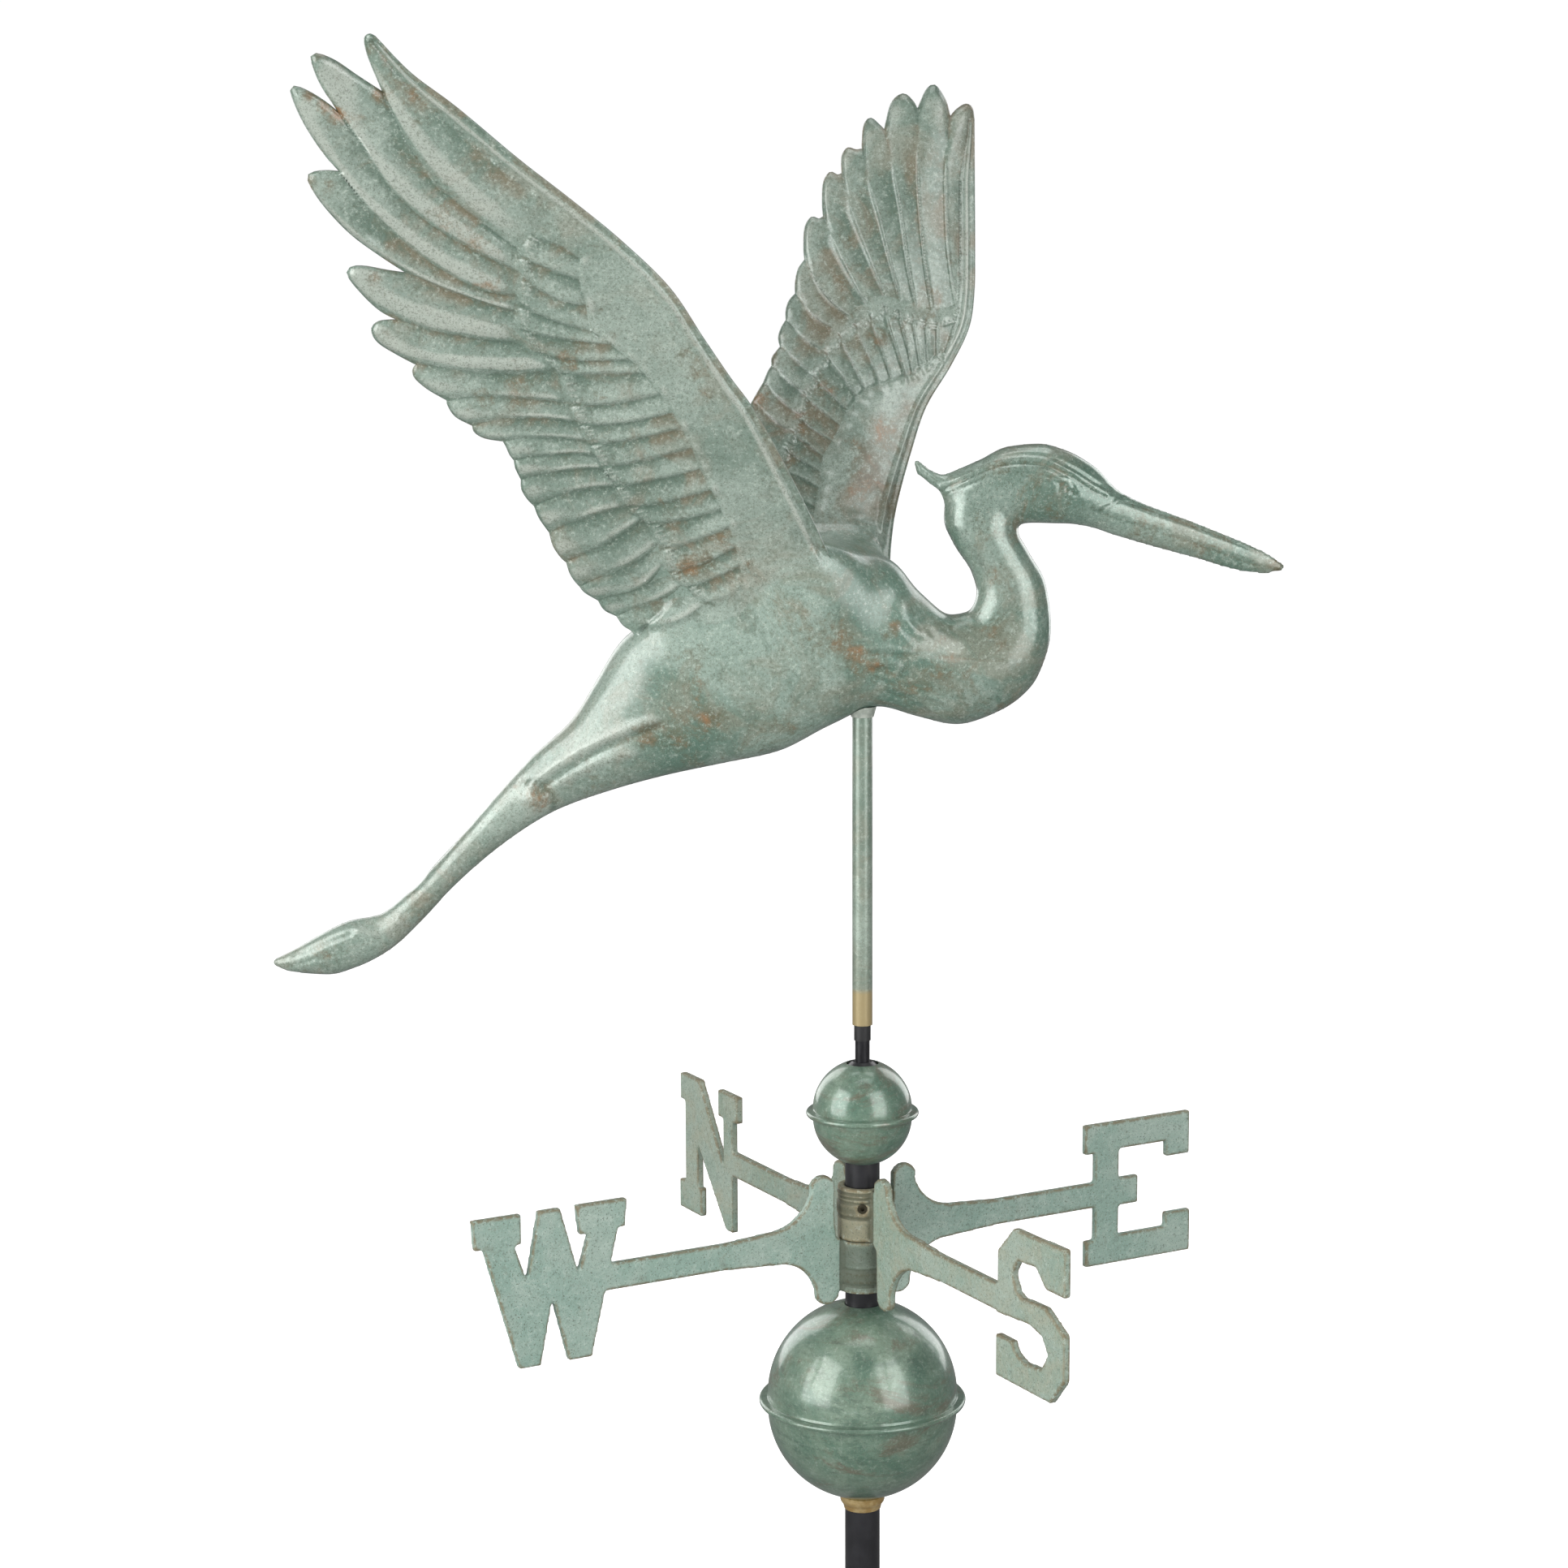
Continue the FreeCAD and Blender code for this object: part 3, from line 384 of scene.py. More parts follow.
# Brown and worn places of the patina: x, z, radius, strength.
BODY_STAINS = [
    (17, 692, 4, 1.0), (12, 688, 3, 0.8), (-14, 685, 11, 0.6), (-5, 677, 9, 0.65), (7, 671, 8, 0.6),
    (24, 660, 11, 0.4), (-78, 645, 8, 0.8), (-95, 643, 9, 0.5), (-88, 675, 8, 0.6), (-112, 635, 8, 0.95),
    (-100, 634, 11, 0.6), (-85, 660, 9, 0.4), (-28, 692, 8, 0.4), (40, 676, 14, 0.4), (-40, 640, 12, 0.3),
    (-128, 622, 9, 0.4), (-170, 600, 8, 0.7), (-140, 612, 10, 0.35), (53, 655, 13, 0.4), (70, 690, 9, 0.45),
    (60, 655, 9, 0.35), (-283, 515, 10, 0.4), (-235, 541, 8, 0.4), (60, 742, 8, 0.4), (216, 722, 5.0, 1.0),
    (150, 745, 12, 0.4), (180, 735, 14, 0.4), (66, 772, 9, 0.4), (30, 770, 5, 0.4), (100, 752, 9, 0.3),
    (70, 716, 8, 0.45),
]


def body_relief(p):
    """Raised (mm) and dark (0-1) values of the stamped details at (x, z) points."""
    raised, dark = np.zeros(len(p)), np.zeros(len(p))
    for line, height, width in BODY_RIDGES:
        raised += height * groove(p, line, width)
    for line, depth, width, tone in BODY_LINES:
        mark = groove(p, line, width)
        raised -= depth * mark
        dark += tone * mark
    # Eye: a ring with a pupil in an almond-shaped hollow.
    r = np.hypot(p[:, 0] - EYE[0], p[:, 1] - EYE[1])
    raised += 0.6 * np.exp(-((r - 2.3) / 0.6) ** 2) + 0.6 * np.exp(-(r / 0.9) ** 2)
    raised -= 0.5 * np.exp(-((r - 1.4) / 0.45) ** 2) + 0.45 * np.exp(-((r - 3.7) / 0.7) ** 2)
    dark += 0.9 * np.exp(-((r - 1.4) / 0.5) ** 2) + 0.7 * np.exp(-((r - 3.7) / 0.7) ** 2)
    # Hock, and the rounded blob where the wing's front edge is joined on.
    raised += 2.0 * spot(p, (-171, 600), 7.0) + 1.5 * spot(p, (21, 702), 5.0, 0.8)
    dark += 0.3 * spot(p, (-171, 600), 6.0)
    return raised, np.clip(dark, 0, 1)


def stains(p, places):
    """How brown each (x, z) point is, 0-1."""
    total = np.zeros(len(p))
    for x, z, radius, strength in places:
        total = np.maximum(total, strength * spot(p, (x, z), radius))
    return total


BODY_VOXEL = 0.00126
# Muscle at the wing roots: centre, radii.
MUSCLES = [((-27, -20, 710), (34, 14, 30)), ((-30, 20, 706), (34, 12, 30))]
# Smoothed regions, each as (low, rise, fall, high) along x and along z.
WING_ROOTS = ((-150, -118, 20, 42), (655, 675, 760, 784))
BACK = ((-80, -50, 6, 24), (676, 700, 736, 756))
SEAM_START, SEAM_END, SEAM_WIDTH, SEAM_HEIGHT = -300, 214, 0.8, 0.30
# Places that are rounded where the throat, nape, crest and legs run together: centre, radius.
JOINS = [((86, 750), 12), ((46, 755), 10), ((66, 752), 12), ((-135, 640), 22), ((-230, 552), 12)]


def make_body():
    shells = [loft(SPINE), loft(HEAD), loft(CREST, around=24), loft(FAR_LEG, side_shift=4.5, around=24)]
    shells += [wing_stub(RIGHT), wing_stub(LEFT), *(blob(*muscle) for muscle in MUSCLES)]
    shells += [saddle(RIGHT), saddle(LEFT)]
    obj = remeshed("heron_body", shells, BODY_VOXEL)
    mesh = obj.data
    relax(mesh, 6)
    co = read(mesh, "co") / MM
    flat = co[:, [0, 2]]
    # The wing roots flow into the back and the flanks.
    roots, back = (between(co[:, 0], *along_x) * between(co[:, 2], *along_z)
                   for along_x, along_z in (WING_ROOTS, BACK))
    fill_creases(mesh, 280, roots)
    relax(mesh, 22, weight=roots)
    relax(mesh, 260, weight=back, keep_size=False)
    join = np.maximum.reduce([spot(flat, centre, radius) for centre, radius in JOINS])
    relax(mesh, 26, weight=np.clip(join * 1.6, 0, 1), keep_size=False)
    relax(mesh, 3)
    co = read(mesh, "co") / MM
    nrm = read(mesh, "normal")
    flat = co[:, [0, 2]]
    raised, dark = body_relief(flat)
    flank = ease(np.abs(co[:, 1]), 0.4, 2.5)
    # The soldered seam of the two halves stands up as a low bead all round.
    seam = np.exp(-(co[:, 1] / SEAM_WIDTH) ** 2) * (1 - roots)
    seam *= (co[:, 0] > SEAM_START) & (co[:, 0] < SEAM_END)
    co += nrm * (raised * flank + SEAM_HEIGHT * seam)[:, None]
    set_coordinates(mesh, co * MM)
    relax(mesh, 1)
    set_mask(obj, "groove", np.clip(dark * flank + 0.25 * seam, 0, 1))
    # Painted light: the legs are paler in place of light thrown up from the floor below; the lower neck is
    # paler too.
    pale = 0.45 * (1 - ease(co[:, 0], -135, -85))
    pale += 0.22 * ease(co[:, 0], 45, 70) * (1 - ease(co[:, 2], 735, 755))
    set_mask(obj, "ridge", np.clip(0.3 * raised * flank, 0, 0.5) + 0.3 * seam + pale)
    set_mask(obj, "stain", stains(flat, BODY_STAINS))
    set_mask(obj, "gloss", np.maximum(ease(co[:, 0], 18, 52), 0.4 * (1 - ease(co[:, 0], -165, -95))))
    return obj


# --- Wings: quilts of stamped feathers ---
class Quilt:
    """Points of one wing in (x, z) with how far they are raised and how dark they are."""

    def __init__(self):
        self.points, self.raised, self.dark = [], [], []

    def add(self, points, raised, dark):
        self.points.append(np.asarray(points, float).reshape(-1, 2))
        self.raised.append(np.asarray(raised, float).ravel())
        self.dark.append(np.asarray(dark, float).ravel())

    def arrays(self):
        return np.vstack(self.points), np.concatenate(self.raised), np.concatenate(self.dark)


# Sections across a feather, from its upper to its lower edge: shares of the width, shares of the height.
LAP = ([0, .05, .12, .22, .4, .6, .78, .9, .96, 1], [.70, .25, 0, .06, .30, .58, .85, 1, .93, .70])
SWELL = ([0, .05, .12, .22, .4, .6, .78, .9, .96, 1], [.40, .12, 0, .12, .50, .88, 1, .86, .66, .40])
RIB = ([0, .04, .10, .2, .5, .75, .9, .96, 1], [1, .45, .12, 0, .24, .44, .52, .72, 1])


def coons(upper, lower, base, tip, rows, shares):
    """Grid of points inside four curves, as rows x columns x 2."""
    s = np.linspace(0, 1, rows)[:, None, None]
    t = np.asarray(shares)[None, :, None]
    u = at_shares(upper, np.linspace(0, 1, rows))[:, None, :]
    v = at_shares(lower, np.linspace(0, 1, rows))[:, None, :]
    b = at_shares(base, shares)[None, :, :]
    e = at_shares(tip, shares)[None, :, :]
    corners = (1 - s) * (1 - t) * u[0] + s * (1 - t) * u[-1] + (1 - s) * t * v[0] + s * t * v[-1]
    return (1 - t) * u + t * v + (1 - s) * b + s * e - corners


def feather(quilt, upper, lower, tip, height, profile, base_drop, columns, step=1.7, fade_base=0.12, pale=0.6,
            plump=0.35, tint=0.0):
    """One feather between two boundary curves that run from base to tip."""
    upper, lower, tip = (smooth_curve(c) if len(c) > 2 else np.array(c, float) for c in (upper, lower, tip))
    base = np.array([upper[0], lower[0]])
    rows = max(8, int(max(lengths(upper)[-1], lengths(lower)[-1]) / step))
    shares = 0.5 - 0.5 * np.cos(np.linspace(0, math.pi, columns))
    shares = 0.5 * shares + 0.5 * np.linspace(0, 1, columns)
    grid = coons(upper, lower, base, tip, rows, shares)
    s = np.linspace(0, 1, rows)[:, None]
    rounded = np.sin(math.pi * shares) ** 0.7
    mixed = ease(s, plump, 1.0)
    shape = (1 - mixed) * np.interp(shares, *profile)[None, :] + mixed * rounded[None, :]
    end = ease(s, -fade_base * 0.3, fade_base)
    raised = height * shape * end - base_drop * (1 - ease(s, 0, 0.30))
    # The base, where the feather goes under the one above, is darkened: painted shadow.
    dark = (1 - shape) ** 1.8 * end + 0.5 * (1 - ease(s, 0, 0.12)) * (base_drop > 0)
    tone = np.clip(dark, 0, 1) - pale * ease(shape, 0.6, 1.0) * end + tint
    skip = 1 if base_drop > 0 else 0
    quilt.add(grid[skip:], raised[skip:], tone[skip:])
    return grid


# Section of the rolled leading edge: share of its width, raised, dark (below 0: pale).
BAND = [(.12, .1, .3), (.27, -.25, .6), (.38, .45, 0), (.48, 1.15, -.9), (.58, 1.0, -.8), (.70, .3, -.1),
        (.84, -.1, .3), (1.0, 0, .1)]


def leading_band(quilt, curve, width, step=2.0):
    """Rolled edge: a flange, then a thin raised seam, then a shallow hollow."""
    count = int(lengths(curve)[-1] / step)
    line = at_shares(curve, np.linspace(0, 1, count))
    along = np.gradient(line, axis=0)
    along /= np.linalg.norm(along, axis=1)[:, None]
    inward = np.column_stack([-along[:, 1], along[:, 0]])
    if (line + inward * 5)[count // 2][0] > line[count // 2][0]:
        inward = -inward
    low_part = 1 - ease(np.linspace(0, 1, count), 0.15, 0.5)
    on_wing = ease(line[:, 1], 722, 744)
    shrink = (1 - 0.62 * ease(np.linspace(0, 1, count), 0.86, 1.0)) * (1 + 0.35 * low_part)
    for share, raised, dark in BAND:
        place = line + inward * (width * share * shrink)[:, None]
        quilt.add(place, raised * (0.8 + 0.7 * low_part) * on_wing, dark * on_wing)
    return line + inward * (width * shrink)[:, None]


def bulged(start, end, bulge, count=9):
    """Shallow arc from start to end that swells to the left of the way travelled."""
    a, b = np.array(start, float), np.array(end, float)
    side = np.array([-(b - a)[1], (b - a)[0]]) / np.linalg.norm(b - a)
    t = np.linspace(0, 1, count)[:, None]
    return a + (b - a) * t + side * bulge * 4 * t * (1 - t)


# A wing seen from the side, in (x, z): "chords" are z and the x of the trailing and leading edge, "saddle" is
# x, top of the back and rise, "profiles" are up to which feather, section, height and columns, "dark" and
# "stains" are x, z, radius and strength. In "dark" the small, strong spots are oxidised feather tips and the
# broad, fainter ones are painted shade.
RIGHT = {
    "side": -1, "lean": 0.40,
    "chords": [(655, -118, 8), (700, -118, 2), (745, -150, -20), (800, -185, -50), (850, -222, -82),
               (900, -245, -128), (950, -258, -188), (995, -262, -232)],
    "leading": [(-9, 700), (-12, 716), (-22, 741), (-34, 767), (-46, 791), (-56, 809), (-66, 823),
                (-79, 843), (-95, 868), (-118, 891), (-142, 911), (-166, 930), (-194, 954), (-215, 970),
                (-231, 987)],
    "band": 8.5,
    # Boundaries between flight feathers, base first, then the notch in the outline.
    "flight": [
        [(-168, 887), (-187, 902), (-204, 916), (-217, 933), (-224, 949), (-229, 961)],
        [(-168.5, 876), (-187, 885), (-209, 898), (-227, 915), (-240, 936), (-250, 951)],
        [(-170, 864), (-187, 867), (-206, 877), (-226, 893), (-242, 910), (-252, 924)],
        [(-171, 856), (-186, 861), (-206, 868), (-223, 875)],
        [(-171, 841), (-190, 843), (-212, 847), (-229, 852)],
        [(-151.5, 828), (-170, 826), (-196, 827), (-222, 830)],
        [(-147, 811), (-165, 813), (-186, 814), (-208, 812)],
        [(-143, 801), (-158, 803), (-176, 803), (-196, 799)],
        [(-138, 791), (-152, 793), (-166, 793), (-181, 791)],
        [(-134, 784), (-146, 785), (-160, 783.5), (-176, 781)],
        [(-130, 777), (-143, 777), (-158, 774.5), (-173, 771)],
        [(-124, 768), (-138, 767), (-152, 763.5), (-167, 757)],
        [(-121.5, 757), (-134, 754), (-147, 749), (-160, 743)],
        [(-111, 751), (-122, 744), (-136, 735), (-152, 727)],
        [(-104, 738), (-116, 729), (-130, 721.5), (-146, 714)],
        [(-102.5, 726), (-112, 716), (-123, 710.5), (-137, 706)],
        [(-92.5, 715), (-102, 709), (-114, 703.5), (-128, 697)],
        [(-81, 705), (-92, 697), (-105, 692), (-121, 689)],
    ],
    # Outline from one notch to the next, between the notches themselves.
    "tips": [
        [(-231, 987), (-233.5, 988), (-236, 986), (-235, 978), (-229, 961)],
        [(-241, 969), (-251, 976), (-259, 979), (-261.5, 976.5), (-258, 965)],
        [(-257, 957), (-265, 962), (-271, 964), (-272.5, 961), (-268, 948), (-260, 934)],
        [(-259, 924.5), (-266, 923.5), (-268, 920), (-262, 909), (-250, 895), (-236, 884)],
        [(-233, 876.5), (-244, 878.5), (-251, 878), (-252.5, 874), (-246, 865), (-238, 857)],
        [(-234, 852), (-240, 851), (-243, 847), (-240, 841), (-231, 835)],
        [(-224, 827), (-223, 823), (-217, 817.5)],
        [(-207.5, 809), (-204, 803.5)],
        [(-195, 795.5), (-190, 792.5)],
        [(-179.5, 788), (-178, 784)],
        [(-175.5, 777)],
        [(-173, 766), (-170.5, 761)],
        [(-165, 751), (-162, 746)],
        [(-158.5, 736), (-155, 730)],
        [(-150.5, 721), (-148, 716.5)],
        [(-143.5, 710.5)],
        [(-134, 700.5)],
        [(-125, 692)],
    ],
    "coverts": [
        [(-137, 882), (-147, 889), (-161, 894)],
        [(-138, 872), (-152, 877), (-166, 883)],
        [(-135, 859), (-150, 863), (-166, 872)],
        [(-134, 847), (-152, 852), (-168, 859)],
        [(-124, 840), (-148, 843), (-169, 847)],
        [(-115, 833), (-140, 832), (-160, 835)],
        [(-108, 826), (-128, 826), (-149, 825)],
        [(-100, 816), (-122, 811), (-144.5, 809)],
        [(-94, 806), (-117, 801), (-141, 799)],
        [(-90, 798), (-112, 793), (-136, 789)],
        [(-85, 788), (-108, 782), (-131.5, 777)],
        [(-81, 777), (-101, 772), (-125, 767)],
        [(-76, 766), (-98, 760), (-119, 756)],
        [(-71, 756), (-88, 751), (-108, 747)],
        [(-67, 747), (-83, 740), (-101, 734)],
        [(-64, 736), (-81, 727), (-99.5, 721)],
        [(-62, 726), (-76, 719), (-90, 713)],
        [(-61, 715), (-69, 709), (-80, 705)],
    ],
    "first_base": (-144, 906),
    "root": [(-121, 689), (-116, 681), (-103, 671), (-84, 661), (-62, 655), (-40, 656), (-22, 668),
             (-12, 684), (-9, 700)],
    "saddle": [(-112, 692, 2), (-95, 703, 7), (-70, 716, 12), (-42, 729, 12), (-24, 734, 8), (-14, 734, 2)],
    "primaries": 6,
    "profiles": [(6, SWELL, 2.6, 30), (99, LAP, 2.0, 15)],
    "corner": (-121, 688), "tuck": 9.0,
    # The small strong spots are oxidised tips; the broad, faint ones are painted shade.
    "dark": [(-234, 986, 4.5, 0.95), (-260, 977, 4.5, 0.95), (-271, 962, 4.5, 0.95), (-268, 921, 4.5, 0.95),
             (-44, 732, 8, 0.25), (-34, 722, 6, 0.25), (-90, 835, 9, 0.25)],
    "stains": [(-264, 960, 4, 1.0), (-257, 955.5, 4, 1.0), (-251, 951, 4, 0.9), (-231, 960, 4, 1.0),
               (-225, 966, 6, 0.45), (-214, 963, 7, 0.35), (-214, 948, 5, 0.5), (-233, 982, 3, 0.7),
               (-238, 947, 4, 0.5), (-84, 827, 6, 0.6), (-90, 835, 6, 0.5), (-79, 818, 5, 0.4),
               (-80, 729, 6, 0.9), (-90, 725, 7, 0.9), (-72, 738, 6, 0.5), (-146, 836, 10, 0.5),
               (-131, 817, 6, 0.3), (-171, 818, 9, 0.5), (-58, 727, 4, 0.7), (-190, 812, 9, 0.4),
               (-258, 917, 5, 0.4), (-240, 872, 6, 0.6), (-236, 846, 5, 0.4), (-190, 890, 9, 0.35),
               (-205, 905, 9, 0.35), (-185, 868, 9, 0.35), (-120, 893, 8, 0.25), (-24, 735, 4, 0.5),
               (-100, 760, 8, 0.3)],
}
LEFT = {
    "side": 1, "lean": 0.33,
    "chords": [(675, -100, 14), (720, -98, 16), (760, -80, 24), (815, -52, 44), (850, -40, 59),
               (905, -22, 61), (950, 4, 60), (985, 14, 58)],
    "leading": [(12, 694), (14, 712), (15, 730), (18, 750), (26, 779), (34, 802), (47, 823), (57, 843),
                (60, 862), (60.5, 885), (60.5, 920), (60.5, 954)],
    "band": 8.0,
    "flight": [
        [(51, 853), (47, 880), (45.5, 905), (45.5, 930), (47.5, 955)],
        [(38, 851), (34, 878), (31, 908), (30, 935), (30, 959)],
        [(29.5, 853), (25, 876), (21, 906), (16, 932), (12, 948)],
        [(21, 857), (15, 880), (9, 904), (3, 924), (0, 938)],
        [(12.5, 860), (5, 879), (-3, 899), (-8, 913), (-11, 925)],
        [(3, 856), (-3, 866), (-11, 881), (-21, 902)],
        [(-6, 849), (-14, 855), (-23, 865), (-31, 879)],
        [(-15, 843), (-22, 847), (-29, 853), (-36, 861)],
        [(-22, 832), (-28, 836), (-34, 841), (-41, 847)],
        [(-28, 821), (-33, 825), (-38, 829), (-44, 833)],
        [(-33, 811), (-38, 815), (-43, 818.5), (-48.5, 823)],
        [(-37, 800), (-42, 805), (-47, 809), (-53, 814)],
        [(-40, 790), (-46, 795), (-52, 799.5), (-59, 804)],
        [(-45, 778), (-52, 783), (-59, 787.5), (-66, 791)],
        [(-49, 767), (-57, 771), (-65, 774.5), (-75, 777)],
        [(-53, 754), (-62, 757), (-72, 760), (-84, 761)],
        [(-57, 740), (-67, 743), (-79, 745), (-93, 746)],
    ],
    "tips": [
        [(60.5, 954), (59.5, 960), (56, 962), (51, 959), (47.5, 955)],
        [(45, 964), (39.5, 972), (35, 970), (31.5, 963)],
        [(27, 964), (22, 967.5), (16, 963), (13, 953)],
        [(9, 951), (4.5, 954.5), (1, 951), (0, 942)],
        [(-3.5, 937.5), (-8, 938.5), (-11, 934)],
        [(-13.5, 924), (-17.5, 925.5), (-21, 920), (-21.5, 909)],
        [(-23.5, 900.5), (-27.5, 901.5), (-31, 896), (-31.5, 885)],
        [(-34.5, 874), (-36, 867)],
        [(-39.5, 857), (-41, 852)],
        [(-43.5, 843), (-45, 838)],
        [(-46.5, 830), (-48.5, 827)],
        [(-50.5, 820)],
        [(-55.5, 810)],
        [(-62, 798)],
        [(-71, 785)],
        [(-80, 770)],
        [(-89, 755)],
    ],
    "coverts": [
        [(44, 829), (48, 839), (50.5, 849)],
        [(40, 828), (40, 837), (40, 846)],
        [(35, 823), (34.5, 834), (34, 847)],
        [(31, 821), (29, 834), (27, 849)],
        [(27, 818), (24, 834), (19.5, 852)],
        [(23, 817), (18, 834), (11.5, 855)],
        [(16, 815), (11, 832), (4, 850)],
        [(10, 813), (4, 829), (-4, 845)],
        [(2, 810), (-5, 826), (-12.5, 840)],
        [(-2, 806), (-10, 819), (-19.5, 830)],
        [(-7, 800), (-16, 809), (-26, 818)],
        [(-11, 792), (-21, 800), (-31, 808)],
        [(-15, 784), (-26, 791), (-34.5, 798)],
        [(-20, 776), (-29, 783), (-37.5, 789)],
        [(-21, 768), (-31, 774), (-41, 779.5)],
        [(-22, 760), (-33, 766), (-45, 770)],
        [(-24, 750), (-36, 756), (-49, 759)],
        [(-25, 739), (-38, 743), (-53, 745)],
    ],
    "first_base": (56, 847),
    "root": [(-93, 746), (-102, 732), (-108, 714), (-104, 690), (-88, 672), (-62, 662), (-36, 662),
             (-8, 670), (7, 680), (12, 694)],
    "saddle": [(-94, 703, 3), (-80, 711, 9), (-50, 726, 16), (-20, 733, 18), (0, 730, 17), (13, 725, 9)],
    "primaries": 7,
    "profiles": [(7, RIB, 2.5, 22), (99, RIB, 1.8, 13)],
    "corner": (-104, 692), "tuck": 10.0,
    # The small strong spots are oxidised tips; the broad ones on the arm are painted shade.
    "dark": [(56, 961, 4.5, 0.95), (39, 971, 4.5, 0.95), (22, 966, 4.5, 0.95), (5, 953, 4.5, 0.95),
             (4, 764, 17, 0.8), (12, 784, 14, 0.7), (0, 746, 14, 0.75), (24, 802, 11, 0.55),
             (34, 822, 8, 0.4)],
    "stains": [(2, 778, 9, 0.9), (4, 766, 11, 0.8), (10, 790, 8, 0.6), (22, 768, 3, 0.6), (12, 752, 6, 0.5),
               (36, 858, 9, 0.6), (46, 880, 8, 0.4), (-8, 889, 5, 0.5), (23, 842, 8, 0.6),
               (10, 838, 8, 0.6), (-6, 832, 7, 0.5), (-20, 812, 7, 0.6), (-30, 795, 7, 0.6),
               (-38, 775, 7, 0.5), (-24, 914, 4, 0.5), (-48, 826, 6, 0.7), (-56, 806, 7, 0.8),
               (-66, 785, 8, 0.5), (-1, 759, 9, 0.5), (-14, 750, 8, 0.35), (-12, 868, 8, 0.35)],
}


def lattice(outline, taken, gap):
    """Even points inside the outline that keep clear of the points already there."""
    low, high = outline.min(0), outline.max(0)
    rows = np.arange(low[1], high[1], gap * 0.87)
    found = []
    for k, z in enumerate(rows):
        x = np.arange(low[0] + (k % 2) * gap / 2, high[0], gap)
        found.append(np.column_stack([x, np.full(len(x), z)]))
    found = np.vstack(found)
    inside = np.zeros(len(found), bool)
    j = len(outline) - 1
    for i in range(len(outline)):
        a, b = outline[i], outline[j]
        crosses = (a[1] > found[:, 1]) != (b[1] > found[:, 1])
        with np.errstate(divide="ignore", invalid="ignore"):
            x = (b[0] - a[0]) * (found[:, 1] - a[1]) / (b[1] - a[1]) + a[0]
        inside ^= crosses & (found[:, 0] < x)
        j = i
    found = found[inside]
    cells = {}
    size = gap * 0.9
    for q in taken:
        cells.setdefault((int(q[0] // size), int(q[1] // size)), []).append(q)
    keep = []
    for q in found:
        i, j = int(q[0] // size), int(q[1] // size)
        near = [r for di in (-1, 0, 1) for dj in (-1, 0, 1) for r in cells.get((i + di, j + dj), ())]
        keep.append(not near or min((r[0] - q[0]) ** 2 + (r[1] - q[1]) ** 2 for r in near) > size * size)
    return found[np.array(keep)]


EDGE_HALF = 0.75  # half the thickness at a wing's edge, mm
LEAST_THICK = 0.6
RIM_BULGE = 0.45
COVERT_HEIGHT = 1.5
FILL_GAP = 2.6  # distance between the even filling points
ON_BODY_Z = 783  # below this height a wing's faces may lie on the body
FREE_GAP = 2.6  # how far a face may stand off the body's skin, away from the root
SUNK = 0.35  # how far it lies under the skin at the root


def flight_feathers(quilt, wing, inner_lead):
    """Adds the flight feathers; returns the outline along their tips, one run for each feather."""
    near = wing["side"] < 0
    runs = []
    for k, tip in enumerate(wing["tips"]):
        profile, height, columns = next(p[1:] for p in wing["profiles"] if k < p[0])
        first, primary = k == 0, k < wing["primaries"]
        lower = wing["flight"][k]
        if first:
            start, inside, plump = tip[0], tip[1:-1], 0.1 if near else 0.6
            upper = stretch(inner_lead, wing["first_base"], start)
            upper[-1] = start
        else:
            upper, inside, plump = wing["flight"][k - 1], tip, 0.6 if primary else 0.35
            start = upper[-1]
        grid = feather(quilt, upper, lower, [start, *inside, lower[-1]], height, profile,
                       0.0 if first else 1.0, columns, fade_base=0.35 if first else 0.12, plump=plump,
                       pale=(0.9 if primary else 0.6) * (1.3 if near else 0.8),
                       tint=0.0 if primary else 0.05 * ((k * 3) % 5 - 2))
        runs.append(grid[-1][:-1])
    return runs


def covert_feathers(quilt, wing):
    """The shorter feathers over the flight feathers' roots, each with a light, raised bead at its tip."""
    near = wing["side"] < 0
    coverts = [np.array(c, float) for c in wing["coverts"]]
    for k, (upper, lower) in enumerate(zip(coverts[:-1], coverts[1:])):
        feather(quilt, upper, lower, bulged(upper[-1], lower[-1], -0.5 if near else -0.3), COVERT_HEIGHT,
                LAP if near else RIB, 0.6, 12, 1.6, pale=0.35, plump=0.8,
                tint=0.10 + 0.05 * ((k * 5) % 7 - 3))
        inward = (upper[0] - upper[-1]) / np.linalg.norm(upper[0] - upper[-1])
        edge = at_shares(bulged(upper[-1], lower[-1], 0.0), np.linspace(0.12, 0.88, 5))
        for back, raised in ((0.3, 1.3), (1.7, 1.7), (3.1, 1.4)):
            quilt.add(edge + inward * back, np.full(5, raised), np.full(5, -0.7))


def shoulder_roll(quilt, wing):
    """A low, lumpy roll where the smooth shoulder ends over the coverts."""
    coverts = [np.array(c, float) for c in wing["coverts"]]
    roots = smooth_curve([c[0] for c in coverts], 6)
    along = np.gradient(roots, axis=0)
    along /= np.linalg.norm(along, axis=1)[:, None]
    out = np.column_stack([along[:, 1], -along[:, 0]])
    if out.mean(0) @ np.mean([c[0] - c[1] for c in coverts], axis=0) < 0:
        out = -out
    step = np.arange(len(roots))
    lumps = (0.62 + 0.38 * np.cos(step * 2 * math.pi / 6)) * (0.75 + 0.25 * np.sin(step * 0.61 + 1.0))
    for away, raised, tone in ((-0.6, 0.7, -0.3), (0.8, 1.15, -0.75), (2.2, 1.0, -0.6), (3.8, 0.35, -0.1)):
        quilt.add(roots + out * (away * (0.7 + 0.4 * lumps))[:, None], raised * lumps, tone * lumps)


def one_sided_edges(faces):
    """Edges that a single face uses, in that face's direction."""
    edges = [pair for f in faces for pair in zip(f, f[1:] + f[:1])]
    uses = Counter(frozenset(pair) for pair in edges)
    return [pair for pair in edges if uses[frozenset(pair)] == 1]


